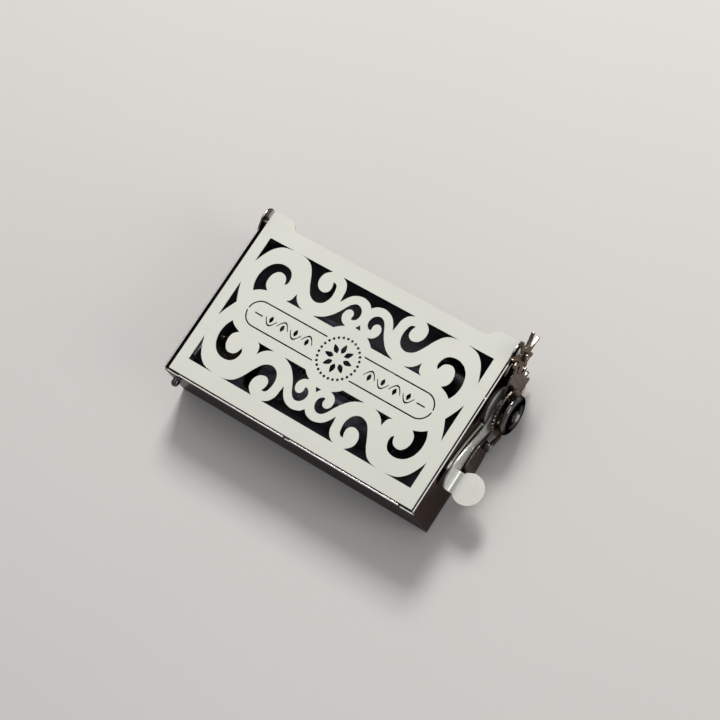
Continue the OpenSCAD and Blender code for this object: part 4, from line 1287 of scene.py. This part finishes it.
@dataclass
class Studio:
    """Camera, floor and lamps.

    Attributes:
        aim: The point that the camera looks at.
        azimuth: Where the camera stands round the box, in degrees; 0 looks along +Y.
        elevation: Height of the camera over the horizon, in degrees.
        roll: Turn of the camera about its own line of sight, in degrees.
        distance: From the aim to the camera.
        lens: Focal length on a sensor 36 mm wide.
        floor_size: Side of the floor.
        lamps: The lamps.
        lamp_colour: Their colour.
        fill: Strength of the even fill.
        fill_colour: Its colour.
        backdrop: Colour behind the floor, as the camera sees it.
    """

    aim: Point = (7.05 * MM, 3.31 * MM, 22 * MM)
    azimuth: float = 66.34
    elevation: float = 64.64
    roll: float = -34.9
    distance: float = 0.673
    lens: float = 99.0
    floor_size: float = 2.4
    lamps: tuple[Lamp, ...] = (
        Lamp("softbox", (-0.38, 0.55, 1.05), 1.15, 3.0),
        Lamp("side", (0.95, 0.15, 0.42), 0.5, 2.7),
        Lamp("key", (-0.3, 0.9, 0.85), 0.35, 12.2),
    )
    lamp_colour: Point = (1.0, 0.985, 0.955)
    fill: float = 0.26
    fill_colour: Point = (0.97, 0.98, 1.0)
    backdrop: Point = (0.7, 0.69, 0.67)

    def make_camera(self) -> bpy.types.Object:
        """Makes the camera and gives it to the scene.

        Returns:
            The camera.
        """
        a, e = math.radians(self.azimuth), math.radians(self.elevation)
        back = Vector((math.sin(a) * math.cos(e), -math.cos(a) * math.cos(e), math.sin(e)))
        data = bpy.data.cameras.new("camera")
        data.lens = self.lens
        data.sensor_width = 36.0
        data.clip_start, data.clip_end = 0.01, 50.0
        camera = bpy.data.objects.new("camera", data)
        camera.location = Vector(self.aim) + back * self.distance
        camera.rotation_mode = "QUATERNION"
        turn = Matrix.Rotation(math.radians(self.roll), 3, "Z")
        camera.rotation_quaternion = ((-back).to_track_quat("-Z", "Y").to_matrix() @ turn).to_quaternion()
        bpy.context.scene.collection.objects.link(camera)
        bpy.context.scene.camera = camera
        return camera

    def make_floor(self) -> bpy.types.Object:
        """Makes the plain pale floor under the box.

        Returns:
            The floor.
        """
        bpy.ops.object.select_all(action="DESELECT")
        bpy.ops.mesh.primitive_plane_add(size=self.floor_size, location=(0, 0, -0.00002))
        floor = bpy.context.object
        floor.name = floor.data.name = "floor"
        n = Nodes("pale_floor")
        tone = n.mix(n.ramp(n.noise((3.0, 3.0, 3.0)), 0.3, 0.7, 0.0, 1.0), (0.66, 0.645, 0.63, 1),
                     (0.68, 0.665, 0.65, 1))
        floor.data.materials.append(n.finish(Base_Color=tone, Roughness=0.9, Specular_IOR_Level=0.1))
        return floor

    def make_lamp(self, lamp: Lamp) -> None:
        """Adds a square lamp that faces the box.

        Args:
            lamp: Its sizes.
        """
        data = bpy.data.lights.new(lamp.name, "AREA")
        data.shape = "SQUARE"
        data.size, data.energy, data.color = lamp.size, lamp.watts, self.lamp_colour
        stand = bpy.data.objects.new(lamp.name, data)
        stand.location = lamp.place
        stand.rotation_mode = "QUATERNION"
        stand.rotation_quaternion = (Vector(self.aim) - Vector(lamp.place)).to_track_quat("-Z", "Y")
        bpy.context.scene.collection.objects.link(stand)

    def make_world(self) -> None:
        """Makes the even fill, and the pale backdrop that only the camera sees."""
        world = bpy.data.worlds.new("studio")
        bpy.context.scene.world = world
        world.use_nodes = True
        tree = world.node_tree
        fill = tree.nodes["Background"]
        fill.inputs["Color"].default_value = (*self.fill_colour, 1)
        fill.inputs["Strength"].default_value = self.fill
        seen = tree.nodes.new("ShaderNodeBackground")
        seen.inputs["Color"].default_value = (*self.backdrop, 1)
        path = tree.nodes.new("ShaderNodeLightPath")
        either = tree.nodes.new("ShaderNodeMixShader")
        tree.links.new(path.outputs["Is Camera Ray"], either.inputs[0])
        tree.links.new(fill.outputs[0], either.inputs[1])
        tree.links.new(seen.outputs[0], either.inputs[2])
        tree.links.new(either.outputs[0], tree.nodes["World Output"].inputs["Surface"])

    def build(self) -> None:
        """Makes all of it."""
        self.make_camera()
        self.make_floor()
        for lamp in self.lamps:
            self.make_lamp(lamp)
        self.make_world()
        bpy.context.scene.view_settings.view_transform = "Standard"
        log.info("studio: camera %.3f m from the lid, lens %.0f", self.distance, self.lens)


def main() -> None:
    """Builds the dressed music box."""
    logging.basicConfig(level=logging.INFO, format="%(name)s: %(message)s")
    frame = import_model()
    bpy.ops.object.select_all(action="DESELECT")
    Studio().build()
    finishes = Finishes()
    by_node = finishes.by_node()
    for name, node in frame["nodes"].items():
        node.data.materials.clear()
        node.data.materials.append(by_node[name])
    slots = {part["node"]: part["material_slot"] for part in frame["record"]["subparts"]}
    bench = Bench(frame["nodes"], slots, finishes)
    for assembly in (Case(bench), Lid(bench), SheetParts(bench), Winding(bench), Screws(bench), Rivets(bench),
                     Comb(bench), Bushes(bench), StopSpring(bench)):
        log.info("building %s", type(assembly).__name__)
        assembly.build()


if __name__ == "__main__":
    main()
